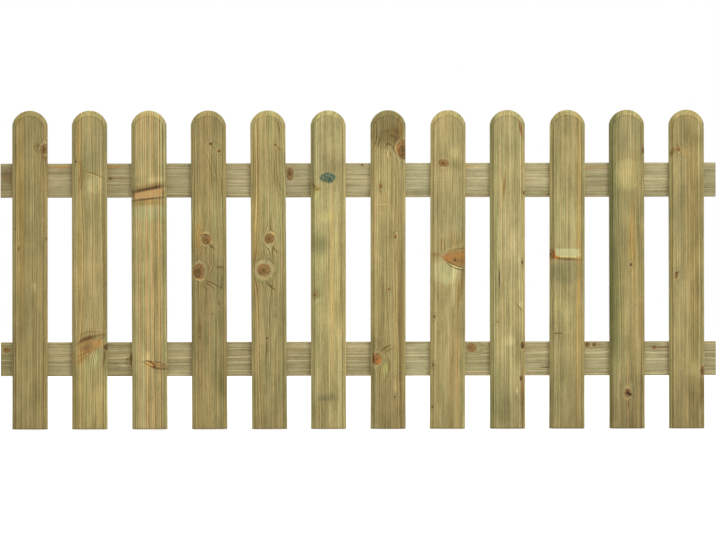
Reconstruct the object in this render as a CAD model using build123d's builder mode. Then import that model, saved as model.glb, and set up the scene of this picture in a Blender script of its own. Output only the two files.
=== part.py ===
from build123d import *
from math import atan2, cos, sin, sqrt
import os

# A garden fence panel: round-headed pickets fixed to the front of two rails.
# X runs along the panel, the pickets stand on the -Y side and Z points up.
# The origin is on the flat rear face of the top rail, where the left post takes it.
# Every length is in millimetres.

os.makedirs("parts", exist_ok=True)

# Pickets
picket_width = 88
picket_length = 800
picket_thickness = 18
picket_pitch = 150

# How far the foot of each picket stands to the right of its head, from left to right
picket_leans = (-1, -0.5, 1.5, 2.5, 3.5, 0, -1, -3, -0.5, -2.5, 0.5, 0.5)

# Round head, and the band that is worked round the head and down the long edges
crown_band = 14.5
edge_band = 9
band_depth = 5
band_step = 0.8
rear_easing = 1.5

# How much each arc's radius exceeds half the width it spans, which leaves a slight shoulder
head_arc_excess = 1
field_arc_excess = 2

# Rails
rail_height = 86
rail_thickness = 28
rail_spacing = 450
rail_easing = 3
rail_overhang = 31
bottom_rail_above_foot = 175

# Half of a square post, which each end of a rail covers
post_cover = 45

# Places that follow from the sizes above
picket_count = len(picket_leans)
rail_length = (picket_count - 1) * picket_pitch + picket_width + 2 * rail_overhang
rail_left_end = -post_cover / 2
first_picket = rail_left_end + rail_overhang + picket_width / 2
foot_level = -rail_spacing - bottom_rail_above_foot
picket_middle = foot_level + picket_length / 2


def board_plane(number, lean, depth):
    """The plane of one picket's outline, at a depth in front of the rails."""
    tilt = atan2(lean, picket_length)
    return Plane(
        origin=(first_picket + number * picket_pitch, -rail_thickness - depth, picket_middle),
        x_dir=(cos(tilt), 0, sin(tilt)),
        z_dir=(0, -1, 0),
    )


def round_headed(plane, width, arc_excess, top):
    """A board with a square foot and a head that is one arc, drawn about its middle."""
    half_width = width / 2
    arc_radius = half_width + arc_excess
    foot = -picket_length / 2
    shoulder = top - arc_radius + sqrt(arc_radius**2 - half_width**2)
    with BuildSketch(plane) as outline:
        with BuildLine():
            Polyline(
                (half_width, shoulder),
                (half_width, foot),
                (-half_width, foot),
                (-half_width, shoulder),
            )
            ThreePointArc((-half_width, shoulder), (0, top), (half_width, shoulder))
        make_face()
    return outline.sketch


def board_outline(plane):
    """The outside edge of a picket."""
    return round_headed(plane, picket_width, head_arc_excess, picket_length / 2)


def field_outline(plane):
    """The flat field of a picket, inside its band."""
    field_width = picket_width - 2 * edge_band
    return round_headed(plane, field_width, field_arc_excess, picket_length / 2 - crown_band)


def export_piece(piece, name):
    """Name a finished piece and write it."""
    piece.part.label = name
    export_step(piece.part, f"parts/{name}.step")
    print(name, "volume", round(piece.part.volume), "mm3")


# Pickets: a plain back, a sloping band and a field that stands a step above the band
back_depth = picket_thickness - band_depth - band_step

for number, lean in enumerate(picket_leans):
    rear_plane = board_plane(number, lean, 0)
    back_plane = board_plane(number, lean, back_depth)
    band_plane = board_plane(number, lean, back_depth + band_depth)
    with BuildPart() as picket:
        extrude(board_outline(rear_plane), amount=back_depth)
        rear_face = picket.faces().sort_by(Axis.Y)[-1]
        fillet(rear_face.edges().sort_by(Axis.Z)[1:], radius=rear_easing)
        loft([board_outline(back_plane), field_outline(band_plane)], ruled=True)
        extrude(field_outline(band_plane), amount=band_step)
    export_piece(picket, f"picket_{number + 1:02d}")

# Rails: planed battens with eased arrises, one above the other
rail_levels = {"top_rail": 0, "bottom_rail": -rail_spacing}

for name, level in rail_levels.items():
    section_plane = Plane(
        origin=(rail_left_end, -rail_thickness / 2, level), x_dir=(0, 1, 0), z_dir=(1, 0, 0)
    )
    with BuildPart() as rail:
        with BuildSketch(section_plane):
            RectangleRounded(rail_thickness, rail_height, rail_easing)
        extrude(amount=rail_length)
    export_piece(rail, name)
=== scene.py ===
# %% [markdown]
# # A picket fence panel in pressure-treated softwood
#
# Twelve planed pickets with round heads stand in front of two rails. The packed
# model holds every board at its real size and place. In this lesson each board
# is made again with its worked edges and its knots, and gets wood whose growth
# rings run through the whole thickness, as they do in a real board. Sizes in the
# lists below are in millimetres.

# %% Load the frame
import math

import bmesh
import bpy
import numpy as np
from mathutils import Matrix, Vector


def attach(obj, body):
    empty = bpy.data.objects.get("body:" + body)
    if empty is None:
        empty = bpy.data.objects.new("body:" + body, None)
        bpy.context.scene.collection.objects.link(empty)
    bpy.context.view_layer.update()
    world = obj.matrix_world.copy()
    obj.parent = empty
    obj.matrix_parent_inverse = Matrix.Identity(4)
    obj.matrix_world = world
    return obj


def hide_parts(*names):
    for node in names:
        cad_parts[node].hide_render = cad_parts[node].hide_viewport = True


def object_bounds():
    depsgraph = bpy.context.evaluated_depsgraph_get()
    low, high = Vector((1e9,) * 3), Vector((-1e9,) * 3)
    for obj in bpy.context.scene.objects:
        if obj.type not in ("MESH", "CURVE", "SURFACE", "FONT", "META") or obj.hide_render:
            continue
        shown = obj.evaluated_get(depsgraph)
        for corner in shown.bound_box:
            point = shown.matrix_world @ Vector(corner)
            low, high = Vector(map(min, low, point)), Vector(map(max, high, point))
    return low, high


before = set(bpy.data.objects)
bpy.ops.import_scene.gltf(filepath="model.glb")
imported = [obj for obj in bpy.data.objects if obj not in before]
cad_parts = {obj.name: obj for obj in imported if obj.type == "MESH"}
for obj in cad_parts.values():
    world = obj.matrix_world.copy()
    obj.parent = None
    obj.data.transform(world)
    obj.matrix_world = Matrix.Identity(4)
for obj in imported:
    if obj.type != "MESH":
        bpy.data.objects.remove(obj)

CAD_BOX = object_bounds()
MM = 0.001
PICKETS = sorted(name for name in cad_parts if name.startswith("picket"))
RAILS = ["top_rail", "bottom_rail"]
print("boards to dress:", len(PICKETS), "pickets and", len(RAILS), "rails")

# %% [markdown]
# ## Formulas as nodes
#
# A shape or a wood grain that follows a rule is a formula, and Blender writes a
# formula as Math nodes. Placing dozens of them by hand is slow to read, so a
# small class wraps a socket and lets plain sums build the nodes. The same class
# serves Geometry Nodes and shaders, because both use the same Math node.

# %% Write sums that become nodes
def plug(tree, socket, value):
    """Feed an input from another node's output, or set it to a plain value."""
    if isinstance(value, Term):
        tree.links.new(value.socket, socket)
    else:
        socket.default_value = value


def add_node(tree, kind, feeds=None, **settings):
    """A new node with its settings and the inputs that are fed, by name or by index."""
    made = tree.nodes.new(kind)
    for name, value in settings.items():
        setattr(made, name, value)
    for key, value in (feeds or {}).items():
        plug(tree, made.inputs[key], value)
    return made


class Term:
    """An output socket that can be used in sums."""

    def __init__(self, tree, socket):
        self.tree = tree
        self.socket = socket

    def math(self, operation, *others, clamp=False):
        made = add_node(self.tree, "ShaderNodeMath", operation=operation, use_clamp=clamp)
        for socket, value in zip(made.inputs, (self, *others)):
            plug(self.tree, socket, value)
        return Term(self.tree, made.outputs[0])

    def __add__(self, other):
        return self.math("ADD", other)

    def __sub__(self, other):
        return self.math("SUBTRACT", other)

    def __mul__(self, other):
        return self.math("MULTIPLY", other)

    def __truediv__(self, other):
        return self.math("DIVIDE", other)

    def __rsub__(self, other):
        return self * -1 + other

    __radd__ = __add__
    __rmul__ = __mul__

    def size(self):
        return self.math("ABSOLUTE")

    def root(self):
        return self.math("SQRT")

    def least(self, other):
        return self.math("MINIMUM", other)

    def most(self, other):
        return self.math("MAXIMUM", other)

    def held(self, low=0.0, high=1.0):
        return self.most(low).least(high)

    def ramp(self, start, end):
        """A soft step, from 0 at start to 1 at end."""
        made = add_node(
            self.tree, "ShaderNodeMapRange", interpolation_type="SMOOTHSTEP",
            feeds={"Value": self, "From Min": start, "From Max": end},
        )
        return Term(self.tree, made.outputs["Result"])

    def parts(self):
        made = add_node(self.tree, "ShaderNodeSeparateXYZ", {0: self})
        return [Term(self.tree, output) for output in made.outputs]


def vector(tree, x, y, z):
    made = add_node(tree, "ShaderNodeCombineXYZ", {0: x, 1: y, 2: z})
    return Term(tree, made.outputs[0])


FLOAT, COUNT, VECTOR = "NodeSocketFloat", "NodeSocketInt", "NodeSocketVector"
COLOUR, SHAPE, FINISH = "NodeSocketColor", "NodeSocketGeometry", "NodeSocketMaterial"


def new_group(kind, name, inputs, outputs):
    """A node group, its inputs as Terms, and the node that its results are plugged into."""
    group = bpy.data.node_groups.new(name, kind)
    for title, socket_type, value in inputs:
        socket = group.interface.new_socket(title, in_out="INPUT", socket_type=socket_type)
        if value is not None:
            socket.default_value = value
    for title, socket_type in outputs:
        group.interface.new_socket(title, in_out="OUTPUT", socket_type=socket_type)
    source = group.nodes.new("NodeGroupInput")
    terms = {title: Term(group, source.outputs[title]) for title, _, _ in inputs}
    return group, terms, group.nodes.new("NodeGroupOutput")


# %% [markdown]
# ## The picket blank
#
# A picket is a planed board with a square foot and a round head. A cutter has
# sloped its front edges, in a band that is narrow down the long edges and wider
# over the crown, and has left a small step where it entered the face. It could
# be modelled by hand, but every line of it follows a rule, so Geometry Nodes
# bend one flat grid into the face: two columns and two rows of the grid lie on
# the step, which keeps it crisp, and the top row lies on the arc of the head.
# Two extrusions give the thickness and the eased rear edges.

# %% Build the picket tree
PICKET_SIZES = [
    ("Width", FLOAT, 88 * MM), ("Length", FLOAT, 800 * MM), ("Thickness", FLOAT, 18 * MM),
    ("Crown Band", FLOAT, 14.5 * MM), ("Edge Band", FLOAT, 9 * MM),
    ("Band Depth", FLOAT, 5 * MM), ("Step", FLOAT, 0.8 * MM), ("Step Slope", FLOAT, 0.25 * MM),
    ("Head Excess", FLOAT, 1 * MM), ("Field Excess", FLOAT, 2 * MM),
    ("Rear Easing", FLOAT, 1.5 * MM), ("Head Zone", FLOAT, 60 * MM),
    ("Field Columns", COUNT, 12), ("Band Columns", COUNT, 5),
    ("Straight Rows", COUNT, 246), ("Head Rows", COUNT, 12), ("Band Rows", COUNT, 5),
    ("Wood", FINISH, None),
]


def finish_tree(tree, geometry, wood, outlet):
    """End a tree as the export needs it: no instances left, and a material set."""
    real = add_node(tree, "GeometryNodeRealizeInstances", {"Geometry": geometry})
    real = Term(tree, real.outputs[0])
    painted = add_node(tree, "GeometryNodeSetMaterial", {"Geometry": real, "Material": wood})
    plug(tree, outlet.inputs[0], Term(tree, painted.outputs[0]))


def build_picket_tree():
    tree, size, outlet = new_group(
        "GeometryNodeTree", "Picket blank", PICKET_SIZES, [("Geometry", SHAPE)]
    )
    half = size["Width"] / 2
    field = half - size["Edge Band"]
    top = size["Length"]
    head_radius = half + size["Head Excess"]
    field_radius = field + size["Field Excess"]
    head_centre = top - head_radius
    field_centre = top - size["Crown Band"] - field_radius
    slope = size["Step Slope"]

    columns = (size["Field Columns"] + size["Band Columns"] + 1) * 2
    rows = size["Straight Rows"] + size["Head Rows"] + size["Band Rows"] + 1
    grid = add_node(tree, "GeometryNodeMeshGrid", {
        "Size X": columns, "Size Y": rows, "Vertices X": columns + 1, "Vertices Y": rows + 1,
    })
    at = add_node(tree, "GeometryNodeInputPosition")
    column, row, _ = Term(tree, at.outputs[0]).parts()
    row = row + rows / 2
    reach = column.size()

    # Across: even columns over the field, the step, and finer columns over the band
    past_field = (reach - size["Field Columns"]).held()
    band_across = ((reach - size["Field Columns"] - 1) / size["Band Columns"]).held()
    across = (reach / size["Field Columns"]).held() * field + past_field * slope
    across = across + band_across * (half - field - slope)

    # Up: even rows to the head, then rows that bend into the two arcs
    straight = (row / size["Straight Rows"]).held()
    bending = ((row - size["Straight Rows"]) / size["Head Rows"]).held()
    past_arc = (row - size["Straight Rows"] - size["Head Rows"]).held()
    band_up = ((row - size["Straight Rows"] - size["Head Rows"] - 1) / size["Band Rows"]).held()
    inside = across.least(field)
    field_arc = field_centre + (field_radius * field_radius - inside * inside).root()
    head_arc = head_centre + (head_radius * head_radius - across * across).most(0).root()
    head_start = top - size["Head Zone"]
    up = straight * head_start + bending * (field_arc - head_start) + past_arc * slope
    up = up + band_up * (head_arc - field_arc - slope)

    # Depth: down the step, then a band that rounds over a little more towards its edge
    lowered = 1 - (1 - past_field) * (1 - past_arc)
    sloped = 1 - (1 - band_across) * (1 - band_up)
    rounded = sloped * (sloped * 0.25 + 0.75)
    depth = lowered * size["Step"] + rounded * size["Band Depth"]
    across = across * column.math("SIGN")

    easing = size["Rear Easing"]
    inset_across = across * ((half - easing) / half)
    inset_up = up * ((top - easing) / top)
    named = {"data_type": "FLOAT_VECTOR", "domain": "POINT"}
    kept = add_node(tree, "GeometryNodeStoreNamedAttribute", {
        "Geometry": Term(tree, grid.outputs["Mesh"]), "Name": "place",
        "Value": vector(tree, across, depth, up),
    }, **named)
    rear = add_node(tree, "GeometryNodeSetPosition", {
        "Geometry": Term(tree, kept.outputs[0]),
        "Position": vector(tree, inset_across, 0, inset_up),
    })
    place = add_node(tree, "GeometryNodeInputNamedAttribute", {"Name": "place"},
                     data_type="FLOAT_VECTOR")
    wide, deep, tall = Term(tree, place.outputs["Attribute"]).parts()
    shell = Term(tree, rear.outputs[0])
    rings = [easing * -1, deep - size["Thickness"]]
    chosen = True
    for level in rings:
        grown = add_node(tree, "GeometryNodeExtrudeMesh", {
            "Mesh": shell, "Selection": chosen, "Offset Scale": 1 * MM, "Individual": False,
        })
        chosen = Term(tree, grown.outputs["Top"])
        moved = add_node(tree, "GeometryNodeSetPosition", {
            "Geometry": Term(tree, grown.outputs["Mesh"]), "Selection": chosen,
            "Position": vector(tree, wide, level, tall),
        })
        shell = Term(tree, moved.outputs[0])
    back = add_node(tree, "GeometryNodeFlipFaces", {"Mesh": Term(tree, rear.outputs[0])})
    closed = add_node(tree, "GeometryNodeJoinGeometry")
    for part in (shell.socket, back.outputs[0]):
        tree.links.new(part, closed.inputs[0])
    welded = add_node(tree, "GeometryNodeMergeByDistance", {
        "Geometry": Term(tree, closed.outputs[0]), "Distance": 0.01 * MM,
    })
    finish_tree(tree, Term(tree, welded.outputs[0]), size["Wood"], outlet)
    return tree


PICKET_TREE = build_picket_tree()
print("picket tree:", len(PICKET_TREE.nodes), "nodes")

# %% [markdown]
# A modifier runs the tree. Its inputs are set by each socket's identifier before
# the object is first evaluated, and the result is taken as a plain mesh, so that
# nothing live is left on the piece.

# %% Turn a tree into a plain mesh
def make_with_tree(name, tree, **values):
    carrier = bpy.data.objects.new(name + "_carrier", bpy.data.meshes.new(name))
    bpy.context.scene.collection.objects.link(carrier)
    modifier = carrier.modifiers.new(tree.name, "NODES")
    modifier.node_group = tree
    sockets = {item.name: item.identifier for item in tree.interface.items_tree
               if item.in_out == "INPUT"}
    for title, value in values.items():
        modifier[sockets[title.replace("_", " ")]] = value
    carrier.update_tag()
    graph = bpy.context.evaluated_depsgraph_get()
    mesh = bpy.data.meshes.new_from_object(carrier.evaluated_get(graph))
    bpy.data.objects.remove(carrier)
    piece = bpy.data.objects.new(name, mesh)
    bpy.context.scene.collection.objects.link(piece)
    return piece


def read_points(mesh):
    points = np.empty(len(mesh.vertices) * 3)
    mesh.vertices.foreach_get("co", points)
    return points.reshape(-1, 3)


def write_points(mesh, points):
    mesh.vertices.foreach_set("co", points.astype(np.float32).ravel())
    mesh.update()


# %% [markdown]
# ## The rail blank
#
# A rail is a planed batten with eased arrises. It is a section carried along a
# line, so the tree sweeps a rounded rectangle and caps its ends. The section and
# the line are both divided finely, because the relief of the wood comes later.

# %% Build the rail tree
RAIL_SIZES = [
    ("Length", FLOAT, 1800 * MM), ("Height", FLOAT, 86 * MM), ("Thickness", FLOAT, 28 * MM),
    ("Easing", FLOAT, 3 * MM), ("Steps Along", COUNT, 450), ("Steps Around", COUNT, 76),
    ("Wood", FINISH, None),
]


def build_rail_tree():
    tree, size, outlet = new_group(
        "GeometryNodeTree", "Rail blank", RAIL_SIZES, [("Geometry", SHAPE)]
    )
    far_end = vector(tree, size["Length"], 0, 0)
    line = add_node(tree, "GeometryNodeCurvePrimitiveLine", {"End": far_end})
    line = add_node(tree, "GeometryNodeResampleCurve", {
        "Curve": Term(tree, line.outputs[0]), "Count": size["Steps Along"] + 1,
    })
    section = add_node(tree, "GeometryNodeCurvePrimitiveQuadrilateral", {
        "Width": size["Thickness"], "Height": size["Height"],
    })
    section = add_node(tree, "GeometryNodeFilletCurve", {
        "Curve": Term(tree, section.outputs[0]), "Radius": size["Easing"], "Count": 4,
    }, mode="POLY")
    section = add_node(tree, "GeometryNodeResampleCurve", {
        "Curve": Term(tree, section.outputs[0]), "Count": size["Steps Around"],
    })
    swept = add_node(tree, "GeometryNodeCurveToMesh", {
        "Curve": Term(tree, line.outputs[0]), "Profile Curve": Term(tree, section.outputs[0]),
        "Fill Caps": True,
    })
    finish_tree(tree, Term(tree, swept.outputs[0]), size["Wood"], outlet)
    return tree


RAIL_TREE = build_rail_tree()
print("rail tree:", len(RAIL_TREE.nodes), "nodes")

# %% [markdown]
# ## Where each picket stands
#
# The pickets were nailed up by eye, so each one leans a little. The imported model
# has those leans, and its mesh gives them back: the two lower corners of a board
# say where its foot is and how far it is turned. Nothing is measured twice.

# %% Read the foot and the lean of each picket
RAIL_FACE = -28 * MM
FOOT = {}
for name in PICKETS:
    corners = read_points(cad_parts[name].data)
    left = corners[np.argmin(corners[:, 0] + corners[:, 2])]
    right = corners[np.argmax(corners[:, 0] - corners[:, 2])]
    tilt = math.atan2(right[2] - left[2], right[0] - left[0])
    middle = (left + right) / 2
    FOOT[name] = (middle[0], middle[2], tilt)
    print(name, "foot at", np.round(middle[[0, 2]], 4), "lean", round(math.degrees(tilt), 2))


# %% [markdown]
# ## Knots, listed once
#
# A branch leaves a knot: a hard plug of its own rings that stands a little proud
# of the planed face, with the grain parting round it. The same list shapes the
# face and feeds the wood's material, so the relief and the colour always meet.
# Each entry says where the knot is on its board, in millimetres from the centre
# line and up from the foot, and how large it is.

# %% List the knots
class Knot:
    """A knot's place and half sizes in mm, and its looks as shares of 1.

    pull is how far out it bends the grain, in mm, and spread how wide its halo is.
    """

    def __init__(self, across, up, half_width, half_height, dark=0.5, halo=0.4, turn=0.0,
                 fresh=0.0, stain=0.0, shown=1.0, pull=None, spread=1.0):
        self.across = across
        self.up = up
        self.half_width = half_width
        self.half_height = half_height
        self.dark = dark
        self.halo = halo
        self.turn = math.radians(turn)
        self.fresh = fresh
        self.stain = stain
        self.shown = shown
        self.pull = pull or 0.95 * min(half_width, half_height, 16)
        self.spread = spread


KNOTS = {
    "picket_01": [
        Knot(37, 704, 10, 13, dark=0.85, halo=0.2, turn=-10),
        Knot(10.5, 371, 2.5, 2.5, dark=0.5, halo=0.9),
        Knot(-37, 504, 1.6, 3, dark=0.9),
        Knot(41, 479, 2, 4, dark=0.8),
    ],
    "picket_02": [
        Knot(0, 211, 32, 18, dark=0.3, halo=0.2, fresh=0.7, turn=10, shown=0.6, pull=12,
             spread=0.5),
        Knot(-34, 672, 3.5, 4, dark=0.8),
        Knot(43, 206, 8, 8, dark=1.5, halo=0.1, pull=4),
    ],
    "picket_03": [
        Knot(34, 158, 9, 7, dark=0.5, shown=0.5, halo=0.3, pull=3),
    ],
    "picket_04": [
        Knot(7, 716, 6, 5, dark=0.85, halo=0.6, turn=-30),
        Knot(27, 698, 4.5, 5, dark=0.8, halo=0.6, turn=30),
        Knot(-6, 476, 13, 13, dark=0.8, halo=0.5, turn=35, spread=0.6),
        Knot(-25, 396, 15, 20, dark=1.0, halo=0.5, spread=0.6),
        Knot(-23, 231, 3, 4, dark=0.9),
        Knot(9, 289, 2, 3, dark=0.9),
    ],
    "picket_05": [
        Knot(19, 713, 3, 3.5, dark=0.95),
        Knot(3, 478, 13, 14, dark=0.7, halo=0.6, turn=-30, spread=0.6),
        Knot(-12, 399, 18, 16, dark=0.65, halo=1.0, spread=0.8),
        Knot(16, 286, 2.5, 3, dark=0.7, halo=0.9),
        Knot(-5, 228, 3.5, 4, dark=0.9),
    ],
    "picket_06": [
        Knot(-1, 630, 20, 13, dark=0.6, halo=0.15, stain=1.0, pull=5),
        Knot(-34, 336, 4.5, 5.5, dark=0.55, halo=0.5),
    ],
    "picket_07": [
        Knot(38, 701, 16, 26, dark=0.8, halo=0.4, pull=12, spread=0.4),
        Knot(2, 690, 10, 12, shown=0.0, halo=0.0, pull=5),
        Knot(-18, 609, 4.5, 7, dark=0.6, halo=0.5, turn=10),
        Knot(18, 482, 4.5, 7, dark=0.45, halo=0.8, turn=-10),
        Knot(2, 350, 4, 4, dark=0.45, halo=0.3),
        Knot(-28, 175, 12.5, 16, dark=0.7, halo=0.5, fresh=0.5, turn=-10, spread=0.6),
        Knot(17, 80, 3, 3.5, dark=0.8, halo=0.9),
    ],
    "picket_08": [
        Knot(-11, 667, 14, 10, dark=0.7, halo=0.2, fresh=0.3, turn=-8, pull=7),
        Knot(44, 427, 59, 21, dark=0.25, halo=0.5, fresh=0.8, turn=-4, pull=12, spread=0.25),
        Knot(-34, 281, 3.8, 5, dark=0.5, halo=0.7),
        Knot(-36, 160, 4, 5, dark=0.55, halo=0.7),
        Knot(-38, 55, 3, 4, dark=0.8),
    ],
    "picket_09": [
        Knot(41, 592, 3, 6, dark=0.7),
        Knot(37, 417, 3, 6, dark=0.8),
        Knot(-26, 268, 3, 3, dark=0.3, fresh=0.8),
        Knot(38, 209, 6, 10, dark=0.95, halo=0.3),
        Knot(34, 126, 4, 7, dark=0.95, halo=0.3),
    ],
    "picket_10": [
        Knot(-41, 438, 10, 13, dark=0.75, halo=0.0, fresh=0.3, pull=5),
        Knot(-28, 239, 3, 3, dark=0.9, halo=0.6),
    ],
    "picket_11": [
        Knot(42, 698, 4, 9, dark=0.95),
        Knot(9.5, 411, 4.5, 5.5, dark=0.8, halo=0.9),
        Knot(1, 89, 9, 12, dark=0.75, halo=0.5),
    ],
    "picket_12": [
        Knot(-21, 701, 7, 6, dark=0.5, halo=0.5, fresh=0.2, turn=30),
        Knot(-26, 386, 5, 8, dark=0.6, halo=0.6, turn=15),
        Knot(39, 145, 6, 13, dark=0.8, halo=0.6),
    ],
    "top_rail": [
        Knot(-5, 277, 4, 4, dark=0.9),
        Knot(-15.6, 729, 17, 9, dark=0.75, halo=0.3, pull=6),
        Knot(-38, 911, 3, 4, dark=0.7),
        Knot(-30, 1384, 2.5, 2.5, dark=0.95),
    ],
    "bottom_rail": [
        Knot(-24, 15, 8, 10, dark=0.7, pull=6),
        Knot(1, 330, 18, 6, dark=0.8, halo=0.5, pull=7),
        Knot(-28, 1185, 12, 12, dark=0.45, halo=0.4),
        Knot(-35, 1477, 7, 7, dark=0.7),
        Knot(-35, 1494, 6, 6, dark=0.7),
        Knot(-28, 1645, 5, 6, dark=0.7, fresh=0.4),
    ],
}
print("knots:", sum(len(listed) for listed in KNOTS.values()))

# %% [markdown]
# ## The relief of a planed face
#
# A planer leaves a face nearly flat, then the wood dries and moves: it sinks a
# little in long waves, shrinks away from the rim of each knot and leaves the
# knot proud. That is less than half a millimetre, but it is what catches the
# light. The relief only ever sinks below the planed face, so that each board
# still fits against the next. Moving the points with NumPy is the plain way,
# because the rule depends on a list of places. The worked front of a board is
# all that lies further forward than 12 mm.

# %% Sink the faces
FRONT_LIMIT = -12 * MM


def long_waves(points, seed, wavelength=170 * MM):
    """A smooth seeded relief between 0 and 1, longer along the grain than across it."""
    chance = np.random.default_rng(seed)
    relief = np.zeros(len(points))
    for _ in range(7):
        heading = chance.uniform(-1, 1, 3) * (3, 3, 1)
        turns = points @ heading / wavelength
        relief += np.sin(math.tau * (turns + chance.uniform()))
    return 0.5 + relief / 14


def knot_relief(across, up, knots):
    """How far the face sinks round each knot, in mm, and rises again in its middle."""
    sunk = np.zeros(len(across))
    for knot in knots:
        wide = (across - knot.across) / knot.half_width
        tall = (up - knot.up) / knot.half_height
        reach = np.sqrt(wide**2 + tall**2)
        groove = np.exp(-((reach - 1.05) / 0.35) ** 2)
        crown = np.clip(1 - reach, 0, 1)
        size = min(1, knot.half_width / 12)
        sunk += size * (0.45 * groove - 0.15 * crown)
    return sunk


def share_between(values, low, high):
    """A soft step in an array, as the node of the same kind makes."""
    part = np.clip((values - low) / (high - low), 0, 1)
    return part * part * (3 - 2 * part)


def tear_out(across, up):
    """The torn grain on the third picket, where the planer met a buried branch, in mm."""
    top_edge = 600 + 0.2 * across + 0.6 * np.sin(across / 7)
    low_edge = 578 + 0.12 * across + 0.6 * np.sin(across / 5)
    below_top = share_between(top_edge - up, 0, 3)
    above_low = share_between(up - low_edge, 0, 7)
    crack = np.exp(-((up - 162 + across * 0.23) / (2.5 + np.abs(across + 15) / 12)) ** 2)
    ragged = 0.75 + 0.25 * np.sin(across / 3.1 + up / 4.3)
    return 1.7 * below_top * above_low * ragged + 0.9 * crack * share_between(across, -30, 30)


rim = knot_relief(np.array([12.6]), np.array([0.0]), [Knot(0, 0, 12, 12)])
print("sunk round a large knot:", rim.round(2), "mm")
print("sunk in the torn grain:", tear_out(np.array([0.0]), np.array([592.0])).round(2), "mm")

# %% [markdown]
# Each picket is made from the tree, sunk on its front only, turned to its lean
# and put in front of the rails. Sharp edges are kept where two faces meet at
# more than 28 degrees, and the rest is shaded smooth.

# %% Make the pickets
WOOD = {name: bpy.data.materials.new(name + "_wood") for name in PICKETS + RAILS}


def close_and_claim(piece, node):
    """Shade a finished board and let it stand for its node in the frame."""
    mesh = piece.data
    mesh.polygons.foreach_set("use_smooth", [True] * len(mesh.polygons))
    mesh.set_sharp_from_angle(angle=math.radians(28))
    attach(piece, "root")
    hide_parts(node)


for number, name in enumerate(PICKETS):
    piece = make_with_tree(name + "_board", PICKET_TREE, Wood=WOOD[name])
    points = read_points(piece.data)
    across = points[:, 0] / MM
    up = points[:, 2] / MM
    front = points[:, 1] < FRONT_LIMIT
    sunk = 0.35 * long_waves(points, 20 + number) + knot_relief(across, up, KNOTS[name])
    if name == "picket_03":
        sunk += tear_out(across, up)
    points[:, 1] += np.where(front, np.clip(sunk, 0, 3) * MM, 0)
    foot_across, foot_up, tilt = FOOT[name]
    turned = points.copy()
    turned[:, 0] = foot_across + points[:, 0] * math.cos(tilt) - points[:, 2] * math.sin(tilt)
    turned[:, 1] = points[:, 1] + RAIL_FACE
    turned[:, 2] = foot_up + points[:, 0] * math.sin(tilt) + points[:, 2] * math.cos(tilt)
    write_points(piece.data, turned)
    piece.data.attributes.remove(piece.data.attributes["place"])
    close_and_claim(piece, name)
print("pickets:", len(PICKETS), "of", len(piece.data.polygons), "faces each")

# %% [markdown]
# The rails get the same relief on all their long faces. Their wood is laid along
# X, so a knot's place along the rail is its height up the tree.

# %% Make the rails
PICKET_PITCH = 150 * MM
FIRST_PICKET = 52.5 * MM
RAIL_SPACING = 450 * MM
SCREW_OFFSET = 22 * MM


def screw_dimples(along, up):
    """The wood pulled in round each screw on the back of a rail, in mm, from its middle line."""
    crossing = np.round((along - FIRST_PICKET) / PICKET_PITCH).clip(0, len(PICKETS) - 1)
    aside = along - FIRST_PICKET - crossing * PICKET_PITCH
    near = np.full(len(along), 1.0)
    for side in (-1, 1):
        apart = np.hypot(aside - side * SCREW_OFFSET, up - side * SCREW_OFFSET)
        near = np.minimum(near, apart)
    return 0.8 * np.exp(-(near / (6 * MM)) ** 2)


RAIL_START = float(read_points(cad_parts["top_rail"].data)[:, 0].min())
RAIL_LEVEL = {}
for number, name in enumerate(RAILS):
    corners = read_points(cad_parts[name].data)
    RAIL_LEVEL[name] = float(corners[:, 2].min() + corners[:, 2].max()) / 2
    piece = make_with_tree(name + "_board", RAIL_TREE, Wood=WOOD[name])
    points = read_points(piece.data)
    along = points[:, 0] / MM
    down = -points[:, 2] / MM
    sunk = 0.3 * long_waves(points[:, [2, 1, 0]], 50 + number)
    sunk += knot_relief(down, along, KNOTS[name]) * (points[:, 1] < FRONT_LIMIT)
    outwards = np.empty(points.size)
    piece.data.vertices.foreach_get("normal", outwards)
    behind = outwards.reshape(-1, 3)[:, 1] > 0.9
    sunk += screw_dimples(points[:, 0] + RAIL_START, points[:, 2]) * behind
    points -= outwards.reshape(-1, 3) * np.clip(sunk, 0, 1.2)[:, None] * MM
    points += (RAIL_START, RAIL_FACE / 2, RAIL_LEVEL[name])
    write_points(piece.data, points)
    close_and_claim(piece, name)
print("rails from", RAIL_START, "at levels", RAIL_LEVEL)

# %% [markdown]
# ## Wood as a solid
#
# Real grain is a stack of cones round the pith of the tree, and a board is a cut
# through it. So the wood here is a pattern in space: every point of a board asks
# how far it is from the pith, and that distance tells which year's ring it is in.
# The same ring then shows on the face, on the edge and on the end grain, which a
# flat picture wrapped round the board could not do. First come the small parts:
# colours as a screen shows them, mixing, and a noise with a size in millimetres.

# %% Colours, mixing and noise
def tone(red, green, blue):
    """A colour as a screen shows it, 0 to 255, turned into the linear colour of a shader."""
    linear = [((value / 255 + 0.055) / 1.055) ** 2.4 for value in (red, green, blue)]
    return (*linear, 1)


def mix(first, second, share, mode="MIX"):
    """Two colours mixed by a share from 0 to 1, or multiplied."""
    made = add_node(first.tree, "ShaderNodeMix", {0: share, 6: first, 7: second},
                    data_type="RGBA", blend_type=mode)
    return Term(first.tree, made.outputs[2])


def plain(tree, colour):
    """One colour as a Term, to start a mix from."""
    made = add_node(tree, "ShaderNodeRGB")
    made.outputs[0].default_value = colour
    return Term(tree, made.outputs[0])


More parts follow.
